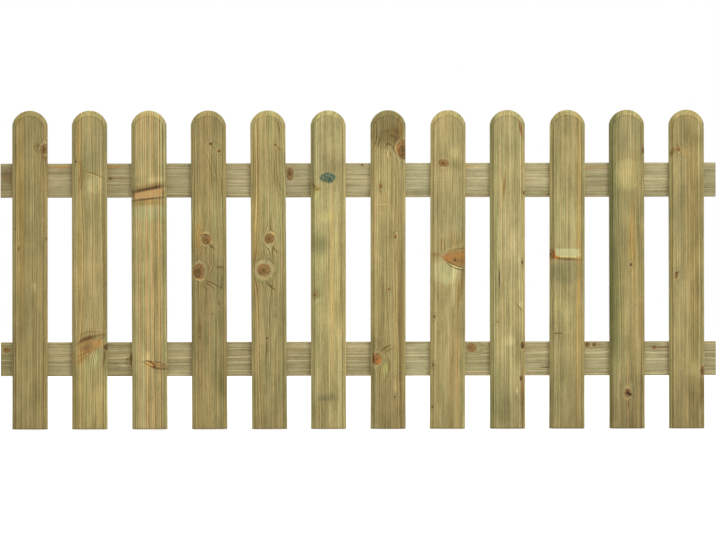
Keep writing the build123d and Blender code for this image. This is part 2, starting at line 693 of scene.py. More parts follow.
def noise(place, size, seed=0.0, detail=2.0):
    """A smooth noise of about -1 to 1, whose lumps measure size = (across, deep, along) in mm."""
    tree = place.tree
    scaled = add_node(tree, "ShaderNodeVectorMath", {0: place, 1: size}, operation="DIVIDE")
    moved = Term(tree, scaled.outputs[0])
    offset = vector(tree, seed * 7.3, seed * 3.1, seed * 5.7) if isinstance(seed, Term) else (
        seed * 7.3, seed * 3.1, seed * 5.7)
    moved = add_node(tree, "ShaderNodeVectorMath", {0: moved, 1: offset}, operation="ADD")
    made = add_node(tree, "ShaderNodeTexNoise", {
        "Vector": Term(tree, moved.outputs[0]), "Scale": 1.0, "Detail": detail,
    })
    return Term(tree, made.outputs["Fac"]) * 3.2 - 1.6


MEAN_WOOD = tone(168, 150, 98)
print("the wood's mean colour as linear light:", [round(value, 3) for value in MEAN_WOOD])

# %% [markdown]
# Grain parts round a knot as water parts round a post. The group takes a point
# and says how far it must be shifted sideways to find the ring that it would lie
# in if the branch were not there. The shifts of several knots are added up.

# %% Build the group that bends the grain
KNOT_PLACE = [("Across", FLOAT, 0.0), ("Up", FLOAT, 0.0)]


def build_grain_bend():
    tree, given, outlet = new_group("ShaderNodeTree", "Bend the Grain", [
        ("Place", VECTOR, (0, 0, 0)), ("Shift", FLOAT, 0.0), ("Near", FLOAT, 0.0),
        *KNOT_PLACE, ("Reach", FLOAT, 10.0),
    ], [("Shift", FLOAT), ("Near", FLOAT)])
    across, _, up = given["Place"].parts()
    aside = across - given["Across"]
    away = (up - given["Up"]) / 1.7
    reach = given["Reach"] * given["Reach"]
    square = aside * aside + away * away
    bent = given["Shift"] + aside * reach / square.most(reach)
    near = 1 - (square.root() / given["Reach"]).ramp(0.8, 3.0)
    plug(tree, outlet.inputs[0], bent)
    plug(tree, outlet.inputs[1], given["Near"].most(near))
    return tree


GRAIN_BEND = build_grain_bend()
print("bend of the grain:", len(GRAIN_BEND.nodes), "nodes")

# %% [markdown]
# ## Growth rings
#
# In each year a softwood grows pale earlywood first, which darkens slowly into
# latewood and then stops at a hard line. Years differ in width and in darkness.
# The pith can lie far to one side of a board, which gives straight lines, or
# close behind it, which gives arches. It never runs quite parallel to the board.

# %% Build the group of growth rings
def build_growth_rings():
    tree, given, outlet = new_group("ShaderNodeTree", "Growth Rings", [
        ("Place", VECTOR, (0, 0, 0)), ("Shift", FLOAT, 0.0), ("Seed", FLOAT, 1.0),
        ("Pith Across", FLOAT, -120.0), ("Pith Depth", FLOAT, 40.0),
        ("Lean Across", FLOAT, 0.0), ("Lean Deep", FLOAT, 0.01),
        ("Ring Width", FLOAT, 3.0), ("Wave", FLOAT, 3.0),
    ], [("Late", FLOAT), ("Year", FLOAT)])
    across, deep, up = given["Place"].parts()
    seed = given["Seed"]
    across = across - given["Shift"] - given["Pith Across"] - up * given["Lean Across"]
    deep = deep - given["Pith Depth"] - up * given["Lean Deep"]
    slow = noise(given["Place"], (55, 55, 380), seed, detail=1.0)
    quick = noise(given["Place"], (8, 8, 40), seed + 3, detail=2.0)
    radius = (across * across + deep * deep).root() + slow * given["Wave"] + quick * 0.55
    rings = radius / given["Ring Width"]
    along_radius = vector(tree, rings, 0, 0)
    rings = rings + noise(along_radius, (3.1, 1, 1), seed + 9, detail=2.0) * 0.9
    year = rings.math("FLOOR")
    part = rings - year
    chance = add_node(tree, "ShaderNodeTexWhiteNoise", {"W": year + seed},
                      noise_dimensions="1D")
    chance = Term(tree, chance.outputs["Value"])
    late = part.ramp(0.3, 0.92) * (1 - part.ramp(0.93, 1.0)) * (chance * 0.75 + 0.35)
    plug(tree, outlet.inputs[0], late)
    plug(tree, outlet.inputs[1], chance)
    return tree


GROWTH_RINGS = build_growth_rings()
print("growth rings:", len(GROWTH_RINGS.nodes), "nodes")

# %% [markdown]
# ## The colour of the treated wood
#
# The boards were soaked in a green preservative that has since faded. What is
# left is a khaki earlywood, olive brown latewood, orange streaks of resin-rich
# wood that took none of it, and cloudy patches where the green is stronger.
# Fine fibres run through all of it, and the knives of the planer have left a faint ripple across
# it, a few millimetres from one cut to the next. The ripple is a small bump, and it is also painted
# into the colour as light and shade.

# %% Build the group of wood colour
PALE_WOOD = tone(182, 167, 109)
LATE_WOOD = tone(118, 90, 40)
RESIN_WOOD = tone(186, 147, 84)
GREEN_WOOD = tone(150, 150, 98)
SILVER_WOOD = tone(172, 163, 130)
PLANER_STEP = 5.4


def build_treated_wood():
    tree, given, outlet = new_group("ShaderNodeTree", "Treated Wood", [
        ("Place", VECTOR, (0, 0, 0)), ("Late", FLOAT, 0.0), ("Year", FLOAT, 0.5),
        ("Near", FLOAT, 0.0), ("Speck", FLOAT, 0.0), ("Seed", FLOAT, 1.0),
        ("Light", FLOAT, 1.0), ("Contrast", FLOAT, 0.8), ("Resin", FLOAT, 0.4),
        ("Green", FLOAT, 0.4), ("Silver", FLOAT, 0.0), ("Ripple", FLOAT, 0.5),
    ], [("Colour", COLOUR), ("Fibre", FLOAT), ("Ripple", FLOAT)])
    place, seed = given["Place"], given["Seed"]
    year = given["Year"] - 0.5
    hue = noise(place, (11, 16, 1300), seed + 21, detail=4.0) + year * 0.9
    cloud = noise(place, (30, 28, 80), seed + 33, detail=2.5)
    mottle = noise(place, (5, 6, 14), seed + 37, detail=4.0)
    resin = (hue - cloud * 0.4).ramp(-0.35, 0.75) * given["Resin"]
    green = (cloud * 0.8 - hue).ramp(-0.35, 0.75) * given["Green"]
    colour = mix(plain(tree, PALE_WOOD), RESIN_WOOD, resin)
    colour = mix(colour, GREEN_WOOD, green)
    colour = mix(colour, SILVER_WOOD, given["Silver"])
    lines = given["Late"] * given["Contrast"] * (given["Near"] * 0.6 + 1)
    colour = mix(colour, LATE_WOOD, lines.held())
    fibre = noise(place, (0.9, 0.9, 55), seed + 41, detail=2.0)
    streak = noise(place, (2.5, 4, 330), seed + 47, detail=3.0)
    band = noise(place, (17, 17, 500), seed + 51, detail=2.0)
    level = fibre * 0.26 + streak * 0.35 + band * 0.16 + year * 0.32 + 1.03
    _, _, up = place.parts()
    drift = noise(place, (45, 45, 30), seed + 81, detail=1.0)
    cut = (up * (math.tau / PLANER_STEP) + drift * 2).math("SINE")
    left = noise(place, (24, 24, 50), seed + 85, detail=1.0).ramp(-0.4, 0.8)
    ripple = cut * left * given["Ripple"]
    # The ripple is also painted into the colour, as light and shade across the cuts.
    level = level + ripple * 0.08 + given["Speck"] * 0.1
    level = (level - cloud * 0.21 - mottle * 0.09).most(0.3) * given["Light"]
    depth = add_node(tree, "ShaderNodeCombineColor", {
        0: level, 1: level.math("POWER", 1.13), 2: level.math("POWER", 1.45),
    })
    colour = mix(colour, Term(tree, depth.outputs[0]), 1.0, mode="MULTIPLY")
    plug(tree, outlet.inputs[0], colour)
    plug(tree, outlet.inputs[1], fibre)
    plug(tree, outlet.inputs[2], ripple)
    return tree


TREATED_WOOD = build_treated_wood()
print("treated wood:", len(TREATED_WOOD.nodes), "nodes")

# %% [markdown]
# ## Knots and marks
#
# A knot is red brown and blotched. It has a dark heart off its middle, faint rings
# if it is large, and a broken line of bark at its rim, inside a paler halo of
# swirling grain. A stained knot took up the green. All other marks, such as a
# streak of resin, a stain or a curved line of grain, are ragged ovals of a tint
# that multiplies the wood under it, so the grain still shows through.

# %% Build the groups that paint knots and marks
KNOT_WOOD = tone(174, 134, 74)
FRESH_KNOT = tone(182, 138, 72)
STAINED_KNOT = tone(60, 100, 80)
KNOT_HEART = tone(88, 62, 24)
KNOT_RIM = tone(78, 58, 26)
HALO_WOOD = tone(200, 182, 128)


def turned(given):
    """Where a point lies along a turned oval, as a share of its half, and beside it, in mm."""
    across, _, up = given["Place"].parts()
    aside = across - given["Across"]
    away = up - given["Up"]
    cosine = given["Turn"].math("COSINE")
    sine = given["Turn"].math("SINE")
    return (aside * cosine + away * sine) / given["Half Width"], away * cosine - aside * sine


OVAL_SIZES = [
    ("Place", VECTOR, (0, 0, 0)), ("Ragged", FLOAT, 0.0), ("Colour", COLOUR, (1, 1, 1, 1)),
    *KNOT_PLACE, ("Half Width", FLOAT, 10.0), ("Half Height", FLOAT, 10.0), ("Turn", FLOAT, 0.0),
]


def build_knot():
    tree, given, outlet = new_group("ShaderNodeTree", "Knot", [
        *OVAL_SIZES, ("Speck", FLOAT, 0.0), ("Dark", FLOAT, 0.5), ("Fresh", FLOAT, 0.0),
        ("Stain", FLOAT, 0.0), ("Halo", FLOAT, 0.4), ("Spread", FLOAT, 1.0),
        ("Shown", FLOAT, 1.0),
    ], [("Colour", COLOUR)])
    ragged, speck = given["Ragged"], given["Speck"]
    dark, stain = given["Dark"], given["Stain"]
    wide, tall = turned(given)
    tall = tall / given["Half Height"]
    reach = (wide * wide + tall * tall).root()
    leaning = reach + wide * 0.28 + tall * 0.28
    reach = reach + ragged * 0.27
    body = (1 - reach.ramp(0.84, 1.04)) * given["Shown"]
    size = given["Half Width"].least(given["Half Height"])
    large = size.ramp(4.0, 11.0)
    rings = (leaning * size * 1.15 + ragged * 2.6 + speck * 0.7).math("SINE").ramp(-0.4, 0.9)
    rings = rings * large * (dark * 0.3 + 0.1) * (1 - given["Fresh"] * 0.8)
    heart = (1 - (leaning + ragged * 0.4 + speck * 0.15).ramp(0.0, 0.75)) * dark * 0.6
    blots = speck.ramp(-0.2, 0.8) * 0.36 + (ragged.ramp(-0.3, 0.9) - 0.3) * (dark * 0.4 + 0.08)
    shade = dark * (0.6 - large * 0.35) + rings + heart + blots
    shade = shade * (1 - stain * 0.6)
    rim = reach.ramp(0.8, 0.96) * (1 - reach.ramp(1.0, 1.16)) * given["Shown"]
    rim = rim * (ragged * 1.6 + 0.2).held() * (dark * 0.6 + 0.35)
    beyond = (reach - 1) / given["Spread"] + 1 + ragged * 0.2
    halo = (1 - beyond.ramp(1.1, 1.8)) * given["Halo"] * (ragged * 0.5 + 0.85).held()
    outer = beyond.ramp(1.35, 1.75) * (1 - beyond.ramp(1.9, 2.9)) * given["Halo"]
    hugging = (beyond * 12).math("SINE").ramp(0.0, 1.0) * (halo + outer)
    colour = mix(given["Colour"], GREEN_WOOD, outer * 0.35)
    colour = mix(colour, HALO_WOOD, halo * 0.85)
    colour = mix(colour, LATE_WOOD, hugging * 0.32)
    wood = mix(plain(tree, KNOT_WOOD), FRESH_KNOT, given["Fresh"])
    wood = mix(wood, STAINED_KNOT, stain)
    wood = mix(wood, HALO_WOOD, (0 - speck).ramp(0.0, 0.8) * stain * 0.8)
    wood = mix(wood, KNOT_HEART, shade.held(0, 0.92))
    colour = mix(colour, wood, body)
    colour = mix(colour, KNOT_RIM, rim)
    plug(tree, outlet.inputs[0], colour)
    return tree


def build_mark():
    tree, given, outlet = new_group("ShaderNodeTree", "Mark", [
        *OVAL_SIZES, ("Soft", FLOAT, 0.4), ("Tint", COLOUR, (1, 1, 1, 1)),
        ("Square", FLOAT, 0.0), ("Smooth", FLOAT, 0.0), ("Bow", FLOAT, 0.0),
    ], [("Colour", COLOUR)])
    _, deep, _ = given["Place"].parts()
    wide, tall = turned(given)
    tall = (tall + wide * wide * given["Bow"] + given["Ragged"] * 0.6) / given["Half Height"]
    round_reach = (wide * wide + tall * tall).root()
    square_reach = wide.size().most(tall.size())
    reach = round_reach + (square_reach - round_reach) * given["Square"]
    reach = reach + given["Ragged"] * 0.2
    inside = 1 - ((reach - 1) / given["Soft"]).ramp(-1.0, 1.0)
    inside = inside * (1 - deep.ramp(-12.0, -7.0))
    colour = mix(given["Colour"], MEAN_WOOD, inside * given["Smooth"])
    plug(tree, outlet.inputs[0], mix(colour, given["Tint"], inside, mode="MULTIPLY"))
    return tree


KNOT_GROUP = build_knot()
MARK_GROUP = build_mark()
print("knot:", len(KNOT_GROUP.nodes), "nodes, mark:", len(MARK_GROUP.nodes), "nodes")

# %% [markdown]
# ## Worked edges
#
# The band round a picket was cut after planing, so it shows wood from just below the face. The step
# where the cutter entered is painted darker, as painted shade with some dirt in it, and the band
# over the crown is painted lighter, as a painted highlight from the light above. The lowest few
# millimetres of the foot are darker. The distance to the outline of the field is worked out from
# the same sizes as the shape.

# %% Build the group of worked edges
SIZE = {title: value / MM for title, kind, value in PICKET_SIZES if kind == FLOAT}
FIELD_HALF = SIZE["Width"] / 2 - SIZE["Edge Band"]
FIELD_RADIUS = FIELD_HALF + SIZE["Field Excess"]
FIELD_CENTRE = SIZE["Length"] - SIZE["Crown Band"] - FIELD_RADIUS


def build_worked_edge():
    tree, given, outlet = new_group("ShaderNodeTree", "Worked Edge", [
        ("Place", VECTOR, (0, 0, 0)), ("Ragged", FLOAT, 0.0), ("Colour", COLOUR, (1, 1, 1, 1)),
        ("Left", FLOAT, 0.2), ("Right", FLOAT, 0.3),
    ], [("Colour", COLOUR)])
    across, deep, up = given["Place"].parts()
    above = (up - FIELD_CENTRE).most(0)
    from_crown = FIELD_RADIUS - (across * across + above * above).root()
    inside = (FIELD_HALF - across.size()).least(from_crown)
    ragged = given["Ragged"] * 0.4
    front = 1 - deep.ramp(-11.0, -9.0)
    step_shade_and_dirt = (1 - (inside + 0.4).size().ramp(0.3, 1.7)) * front
    band = (1 - (inside + ragged).ramp(-1.5, 0.5)) * front
    left = (0 - across).ramp(20, 36)
    right = across.ramp(20, 36)
    crown = band * up.ramp(762, 786)
    foot = 1 - (up + ragged).ramp(1.0, 4.0)
    colour = mix(given["Colour"], (0.68, 0.76, 0.68, 1), band * left * given["Left"], "MULTIPLY")
    colour = mix(colour, (0.78, 0.82, 0.76, 1), band * right * given["Right"], "MULTIPLY")
    # Painted highlight: the band over the crown is lightened as if lit from above.
    colour = mix(colour, (1.16, 1.18, 1.12, 1), crown, "MULTIPLY")
    # Painted shade, with some dirt, darkens the step.
    colour = mix(colour, (0.5, 0.44, 0.34, 1), step_shade_and_dirt * 0.62, "MULTIPLY")
    colour = mix(colour, (0.45, 0.4, 0.3, 1), foot * 0.7, "MULTIPLY")
    plug(tree, outlet.inputs[0], colour)
    return tree


WORKED_EDGE = build_worked_edge()
print("worked edge:", len(WORKED_EDGE.nodes), "nodes")

# %% [markdown]
# ## What differs from board to board
#
# No two boards come from the same tree, so each one's wood is described in plain
# words: where the pith lay and how wide the years are, how light, green, resinous
# or weathered the wood is, and how dark the worked band is on each side. Most
# pickets were cut beside the pith and have fine straight lines, and a few were
# cut over it. The rails are greyer, since the pickets keep the sun off them.

# %% Describe the wood of each board
BOARDS = {
    "picket_01": dict(
        rings=dict(Pith_Across=-170.0, Ring_Width=2.9, Wave=2.0),
        wood=dict(Light=0.83, Contrast=0.85, Resin=0.25, Green=0.35, Ripple=1.0),
        edges=dict(Left=0.3, Right=0.2)),
    "picket_02": dict(
        rings=dict(Pith_Across=-110.0, Pith_Depth=45.0, Ring_Width=3.2, Wave=4.0),
        wood=dict(Light=1.0, Contrast=0.85, Resin=0.35, Green=0.3, Ripple=0.8),
        edges=dict(Left=0.4, Right=0.3)),
    "picket_03": dict(
        rings=dict(Pith_Across=-220.0, Ring_Width=4.3, Wave=3.0),
        wood=dict(Light=1.17, Contrast=1.05, Resin=0.7, Green=0.25, Ripple=0.6),
        edges=dict(Left=0.3, Right=0.5)),
    "picket_04": dict(
        rings=dict(Pith_Across=110.0, Pith_Depth=30.0, Ring_Width=3.1, Wave=4.0),
        wood=dict(Light=0.86, Contrast=0.8, Resin=0.3, Green=0.45),
        edges=dict(Left=0.2, Right=0.2)),
    "picket_05": dict(
        rings=dict(Pith_Across=-95.0, Pith_Depth=50.0, Ring_Width=3.1, Wave=4.5),
        wood=dict(Light=0.96, Contrast=0.85, Resin=0.35, Green=0.35),
        edges=dict(Left=0.2, Right=0.2)),
    "picket_06": dict(
        rings=dict(Pith_Across=-120.0, Pith_Depth=60.0, Ring_Width=3.4, Wave=4.0),
        wood=dict(Light=1.14, Contrast=0.6, Resin=0.35, Green=0.2, Ripple=0.8),
        edges=dict(Left=0.6, Right=0.5)),
    "picket_07": dict(
        rings=dict(Pith_Across=-120.0, Pith_Depth=60.0, Ring_Width=3.4, Wave=5.0),
        wood=dict(Light=1.03, Contrast=0.8, Resin=0.35, Green=0.2),
        edges=dict(Left=0.2, Right=0.3)),
    "picket_08": dict(
        rings=dict(Pith_Across=-230.0, Ring_Width=3.0, Wave=2.0),
        wood=dict(Light=1.08, Contrast=0.85, Resin=0.25, Green=0.3, Ripple=0.9),
        edges=dict(Left=0.2, Right=0.3)),
    "picket_09": dict(
        rings=dict(Pith_Across=-110.0, Pith_Depth=50.0, Ring_Width=3.5, Wave=4.0),
        wood=dict(Light=1.13, Contrast=0.75, Resin=0.2, Green=0.35),
        edges=dict(Left=0.9, Right=0.2)),
    "picket_10": dict(
        rings=dict(Pith_Across=140.0, Pith_Depth=40.0, Ring_Width=3.2, Wave=3.0),
        wood=dict(Light=1.02, Contrast=0.75, Resin=0.2, Green=0.35, Ripple=0.9),
        edges=dict(Left=0.3, Right=0.2)),
    "picket_11": dict(
        rings=dict(Pith_Across=-130.0, Pith_Depth=70.0, Ring_Width=3.3, Wave=4.0),
        wood=dict(Light=0.92, Contrast=0.75, Resin=0.3, Green=0.45, Ripple=0.7),
        edges=dict(Left=0.95, Right=0.2)),
    "picket_12": dict(
        rings=dict(Pith_Across=-260.0, Ring_Width=3.3, Wave=1.8),
        wood=dict(Light=0.95, Contrast=0.85, Resin=0.25, Green=0.35, Ripple=0.7),
        edges=dict(Left=0.6, Right=0.2)),
    "top_rail": dict(
        rings=dict(Pith_Across=130.0, Pith_Depth=30.0, Ring_Width=3.2, Wave=4.0),
        wood=dict(Light=1.08, Contrast=0.6, Resin=0.2, Green=0.3, Silver=0.45, Ripple=0.2)),
    "bottom_rail": dict(
        rings=dict(Pith_Across=-90.0, Pith_Depth=40.0, Ring_Width=3.6, Wave=5.0),
        wood=dict(Light=1.04, Contrast=0.6, Resin=0.25, Green=0.3, Silver=0.4, Ripple=0.2)),
}
print("boards described:", len(BOARDS))

# %% [markdown]
# ## The marks on a board
#
# Everything else that a board has to tell is a mark: a stretch that dried lighter or darker, a long
# streak of resin, or a short curved line of grain pushed aside by a knot. Some marks are painted
# shade: the darker feet of most pickets, which the light from above leaves darker, and the shadows
# in the tear on the third picket. All are ragged ovals. A tint is the ratio by which a screen would
# show the wood lighter or darker, so it is raised to the power 2.2 for the shader, which works in
# linear light.

# %% Define a mark
BROWN = (0.76, 0.67, 0.54)
DARK = (0.56, 0.48, 0.38)
PALE = (1.14, 1.16, 1.2)


class Mark:
    """A turned oval that multiplies the wood by a tint.

    Its place and half sizes are in mm. A bow puts its ends that many mm lower, and
    soft is the share of it over which it fades. A square mark is a box, a smooth one
    hides the grain, and one that is over lies on top of the knots.
    """

    def __init__(self, across, up, half_width, half_height, tint, turn=0.0, bow=0.0, soft=0.8,
                 square=0.0, smooth=0.0, over=False):
        self.across = across
        self.up = up
        self.half_width = half_width
        self.half_height = half_height
        self.tint = (*(value ** 2.2 for value in tint), 1)
        self.turn = math.radians(turn)
        self.bow = bow
        self.soft = soft
        self.square = square
        self.smooth = smooth
        self.over = over


def stretch(up, half_height, tint, soft=0.6):
    """A mark over the whole width, where the board dried lighter or darker, and the painted shade
    that darkens most pickets towards the foot.
    """
    return Mark(0, up, 46, half_height, tint, soft=soft)


MARKS = {}
print("a pale mark as linear light:", [round(value, 2) for value in Mark(0, 0, 1, 1, PALE).tint])

# %% [markdown]
# The first picket is plain, with a knot cut by its right edge. The second has a
# swirl of brown grain at the lower rail, where a branch left the trunk. The third
# was torn at the upper rail, where the planer met a buried branch, and it has a
# ragged crack at the lower one.

# %% Mark pickets 1 to 3
MARKS["picket_01"] = [
    Mark(-24, 560, 8, 260, (1.05, 0.98, 0.87)),
    Mark(22, 712, 7, 1.5, (0.74, 0.66, 0.52), turn=62, bow=2, soft=0.7),
    Mark(17, 711, 7, 1.3, (0.78, 0.7, 0.56), turn=66, bow=2, soft=0.7),
    Mark(12, 709, 6, 1.2, (0.84, 0.77, 0.64), turn=70, bow=2),
    Mark(22, 700, 7, 1.4, (0.76, 0.68, 0.54), turn=-60, bow=-2, soft=0.7),
    Mark(16, 699, 6, 1.2, (0.82, 0.75, 0.62), turn=-64, bow=-2),
    Mark(36, 686, 4, 12, (0.84, 0.72, 0.6), turn=20),
    Mark(12, 360, 5, 10, PALE),
    Mark(-27, 454, 1.2, 6, DARK, soft=0.4),
    stretch(750, 60, (0.965, 0.975, 0.98)),
    stretch(520, 60, (1.025, 1.03, 1.03)),
]
MARKS["picket_02"] = [
    Mark(10, 700, 26, 60, (0.93, 0.94, 0.94)),
    stretch(50, 120, (1.06, 1.05, 1.03)),
    Mark(-25, 420, 3, 420, (1.0, 0.94, 0.85)),
    Mark(-16, 380, 2, 300, (1.0, 0.95, 0.88)),
    Mark(12, 612, 17, 22, (1.13, 1.15, 1.18), turn=-10, soft=0.5),
    Mark(16, 640, 26, 1.8, (0.86, 0.79, 0.64), turn=-21, bow=2, soft=0.7),
    Mark(14, 636, 20, 1.5, (1.1, 1.1, 1.1), turn=-21, bow=2),
    Mark(-16, 628, 30, 1.6, (0.84, 0.77, 0.64), turn=84, bow=-6),
    Mark(-22, 640, 34, 1.6, (0.86, 0.78, 0.66), turn=86, bow=-4),
    Mark(-28, 725, 5, 65, (1.04, 0.98, 0.91)),
    Mark(-6, 243, 24, 2.6, (0.88, 0.83, 0.72), turn=16, bow=5, soft=0.9),
    Mark(-6, 228.5, 26, 5.2, (0.66, 0.56, 0.38), turn=19, bow=4, soft=0.7, over=True),
    Mark(30, 237, 12, 2, (0.8, 0.72, 0.58), turn=4, over=True),
    Mark(22, 216, 12, 11, (1.14, 1.08, 1.02), soft=0.7, over=True),
    Mark(26, 224, 12, 1.8, (0.86, 0.76, 0.64), turn=50, bow=3, over=True),
    Mark(-8, 204, 9, 6, (0.92, 0.86, 0.84), turn=30, over=True),
    Mark(-18, 186, 18, 15, (1.0, 0.95, 0.89), turn=30, over=True),
    Mark(-10, 195, 16, 2.0, (1.08, 1.03, 0.96), turn=24, soft=0.9, over=True),
    Mark(-15, 189, 14, 2.2, (0.88, 0.79, 0.68), turn=27, soft=0.9, over=True),
    Mark(-13, 182, 16, 2.0, (1.08, 1.03, 0.96), turn=28, soft=0.9, over=True),
    Mark(-20, 177, 13, 2.2, (0.88, 0.79, 0.68), turn=30, soft=0.9, over=True),
    Mark(-24, 168, 10, 2.0, (0.92, 0.82, 0.7), turn=34, soft=0.9, over=True),
    Mark(38, 186, 24, 2.0, (0.7, 0.65, 0.5), turn=84, soft=0.7),
    stretch(350, 130, (1.035, 1.01, 1.01)),
    Mark(16, 176, 13, 20, (1.04, 1.1, 1.12), turn=-10),
]
MARKS["picket_03"] = [
    Mark(-20, 624, 18, 12, (0.92, 0.94, 0.92)),
    Mark(16, 626, 20, 6, (1.12, 1.12, 1.15), turn=4),
    Mark(0, 545, 40, 20, (1.0, 1.06, 1.1), soft=0.6),
    # Painted shadow above the tear, under its upper edge.
    Mark(-2, 607, 40, 7, (0.84, 0.8, 0.74), turn=10, soft=0.6, square=1.0),
    Mark(-5, 569, 38, 7, (0.9, 0.84, 0.74), turn=3, square=1.0),
    Mark(-1, 590, 36.5, 10, (1.14, 1.02, 0.98), turn=8.5, soft=0.15, square=1.0, smooth=0.75),
    # Painted shadow along the tear's upper edge, and painted shade along its lower edge.
    Mark(-2, 603, 37, 4.0, (0.6, 0.52, 0.42), turn=11, soft=0.5, square=1.0),
    Mark(-1, 578, 37, 2.3, (0.6, 0.54, 0.44), turn=6, soft=0.7, square=1.0),
    Mark(36.5, 593, 2.5, 9, (0.78, 0.7, 0.62), soft=0.7),
    Mark(-39, 588, 2.5, 9, (0.78, 0.7, 0.62), soft=0.7),
    Mark(-4, 180, 6, 12, PALE),
    Mark(-8, 164, 9, 1.4, (0.74, 0.62, 0.46), turn=-30, soft=0.7),
    Mark(20, 159, 25, 6, (1.14, 1.05, 0.92), turn=-10, soft=0.7),
    Mark(0, 170, 12, 2.4, (0.68, 0.55, 0.4), turn=-12, bow=1, soft=0.7),
    Mark(27, 166.5, 13, 1.8, (0.66, 0.52, 0.38), turn=-14, bow=1, soft=0.7),
    Mark(9, 164, 9, 2.0, (0.68, 0.54, 0.4), turn=-26, bow=-1, soft=0.7),
    Mark(30, 160, 11, 1.8, (0.7, 0.56, 0.42), turn=-8, soft=0.7),
    Mark(13, 158, 5, 2.6, (0.62, 0.48, 0.36), turn=-30),
    Mark(15, 153.5, 13, 2.8, (0.58, 0.46, 0.33), turn=-16, bow=-1, soft=0.7),
    Mark(35, 151, 11, 3.2, (0.56, 0.44, 0.32), turn=2, bow=-1, soft=0.7),
    Mark(26, 156, 4, 2.2, (0.7, 0.56, 0.42), turn=20),
    Mark(24, 142, 13, 3, (0.93, 0.92, 0.88), turn=-6),
    stretch(745, 60, (0.97, 0.97, 0.98)),
    stretch(290, 60, (1.04, 1.03, 1.04)),
    # Painted shade: darker towards the foot.
    stretch(55, 70, (0.98, 0.965, 0.965)),
]
print("marks so far:", sum(len(listed) for listed in MARKS.values()))

# %% [markdown]
# The fourth and fifth were sawn one after the other from the same log: their two
# knots match, and so do the lines that fan out below them. The sixth has clouds
# of green, and a knot that took up more of the preservative than the wood did.

# %% Mark pickets 4 to 6
MARKS["picket_04"] = [
    stretch(300, 150, (0.925, 0.93, 0.925), soft=0.5),
    stretch(530, 60, (1.03, 1.05, 1.05), soft=0.7),
    Mark(-26, 480, 12, 30, (1.06, 0.98, 0.88), soft=0.9),
    Mark(9, 711, 7, 2.2, (0.76, 0.68, 0.54), turn=-40),
    Mark(15, 722, 9, 1.8, (0.87, 0.81, 0.7), turn=-10, bow=3, soft=0.9),
    Mark(24, 703, 8, 1.5, (1.14, 1.12, 1.06), turn=50, bow=2),
    Mark(20, 640, 50, 1.6, (0.88, 0.83, 0.72), turn=-79, bow=5, soft=0.9),
    Mark(8, 640, 44, 1.4, (0.87, 0.81, 0.7), turn=-82, bow=4),
    Mark(32, 620, 34, 1.5, (0.88, 0.82, 0.72), turn=-84, bow=6, soft=0.9),
    Mark(-14, 493, 14, 2.2, (1.15, 1.12, 1.06), turn=12, bow=5, soft=0.7),
    Mark(-11, 489, 12, 1.6, (0.7, 0.58, 0.42), turn=4, bow=4, soft=0.4, over=True),
    Mark(5, 460, 8, 2.4, (0.8, 0.73, 0.6), turn=-42, over=True),
    Mark(10, 455, 9, 1.8, (0.82, 0.75, 0.62), turn=-30),
    Mark(6, 471, 7, 1.8, (1.14, 1.1, 1.02), turn=-40, over=True),
    Mark(0.5, 404, 12, 1.6, (0.84, 0.78, 0.66), turn=90, bow=-5),
    Mark(5, 405, 13, 2.2, (1.16, 1.15, 1.13), turn=90, bow=-6),
    Mark(9.5, 403, 12, 1.6, (0.88, 0.84, 0.76), turn=90, bow=-6),
    Mark(13.5, 402, 10, 2.0, (1.1, 1.1, 1.1), turn=90, bow=-5),
    Mark(-22, 374, 15, 1.6, (1.25, 1.2, 1.1), bow=-5, soft=0.4, over=True),
    Mark(10, 366, 21, 1.4, (0.64, 0.58, 0.44), turn=-27, bow=3, soft=0.4),
    Mark(2, 361, 18, 1.3, (0.74, 0.67, 0.54), turn=-35, bow=3, soft=0.4),
    Mark(-12, 358, 12, 1.3, (0.76, 0.7, 0.56), turn=-58, soft=0.4),
    Mark(28, 406, 8, 3.6, (0.8, 0.76, 0.66)),
    Mark(25, 315, 1.4, 5, DARK, soft=0.4),
    Mark(30, 356, 1.4, 4, DARK, soft=0.4),
    Mark(40, 325, 2.0, 80, PALE),
    Mark(26, 110, 14, 40, (0.9, 0.9, 0.87), turn=15, soft=0.9),
    Mark(-23, 250, 2.0, 25, BROWN, soft=0.9),
]
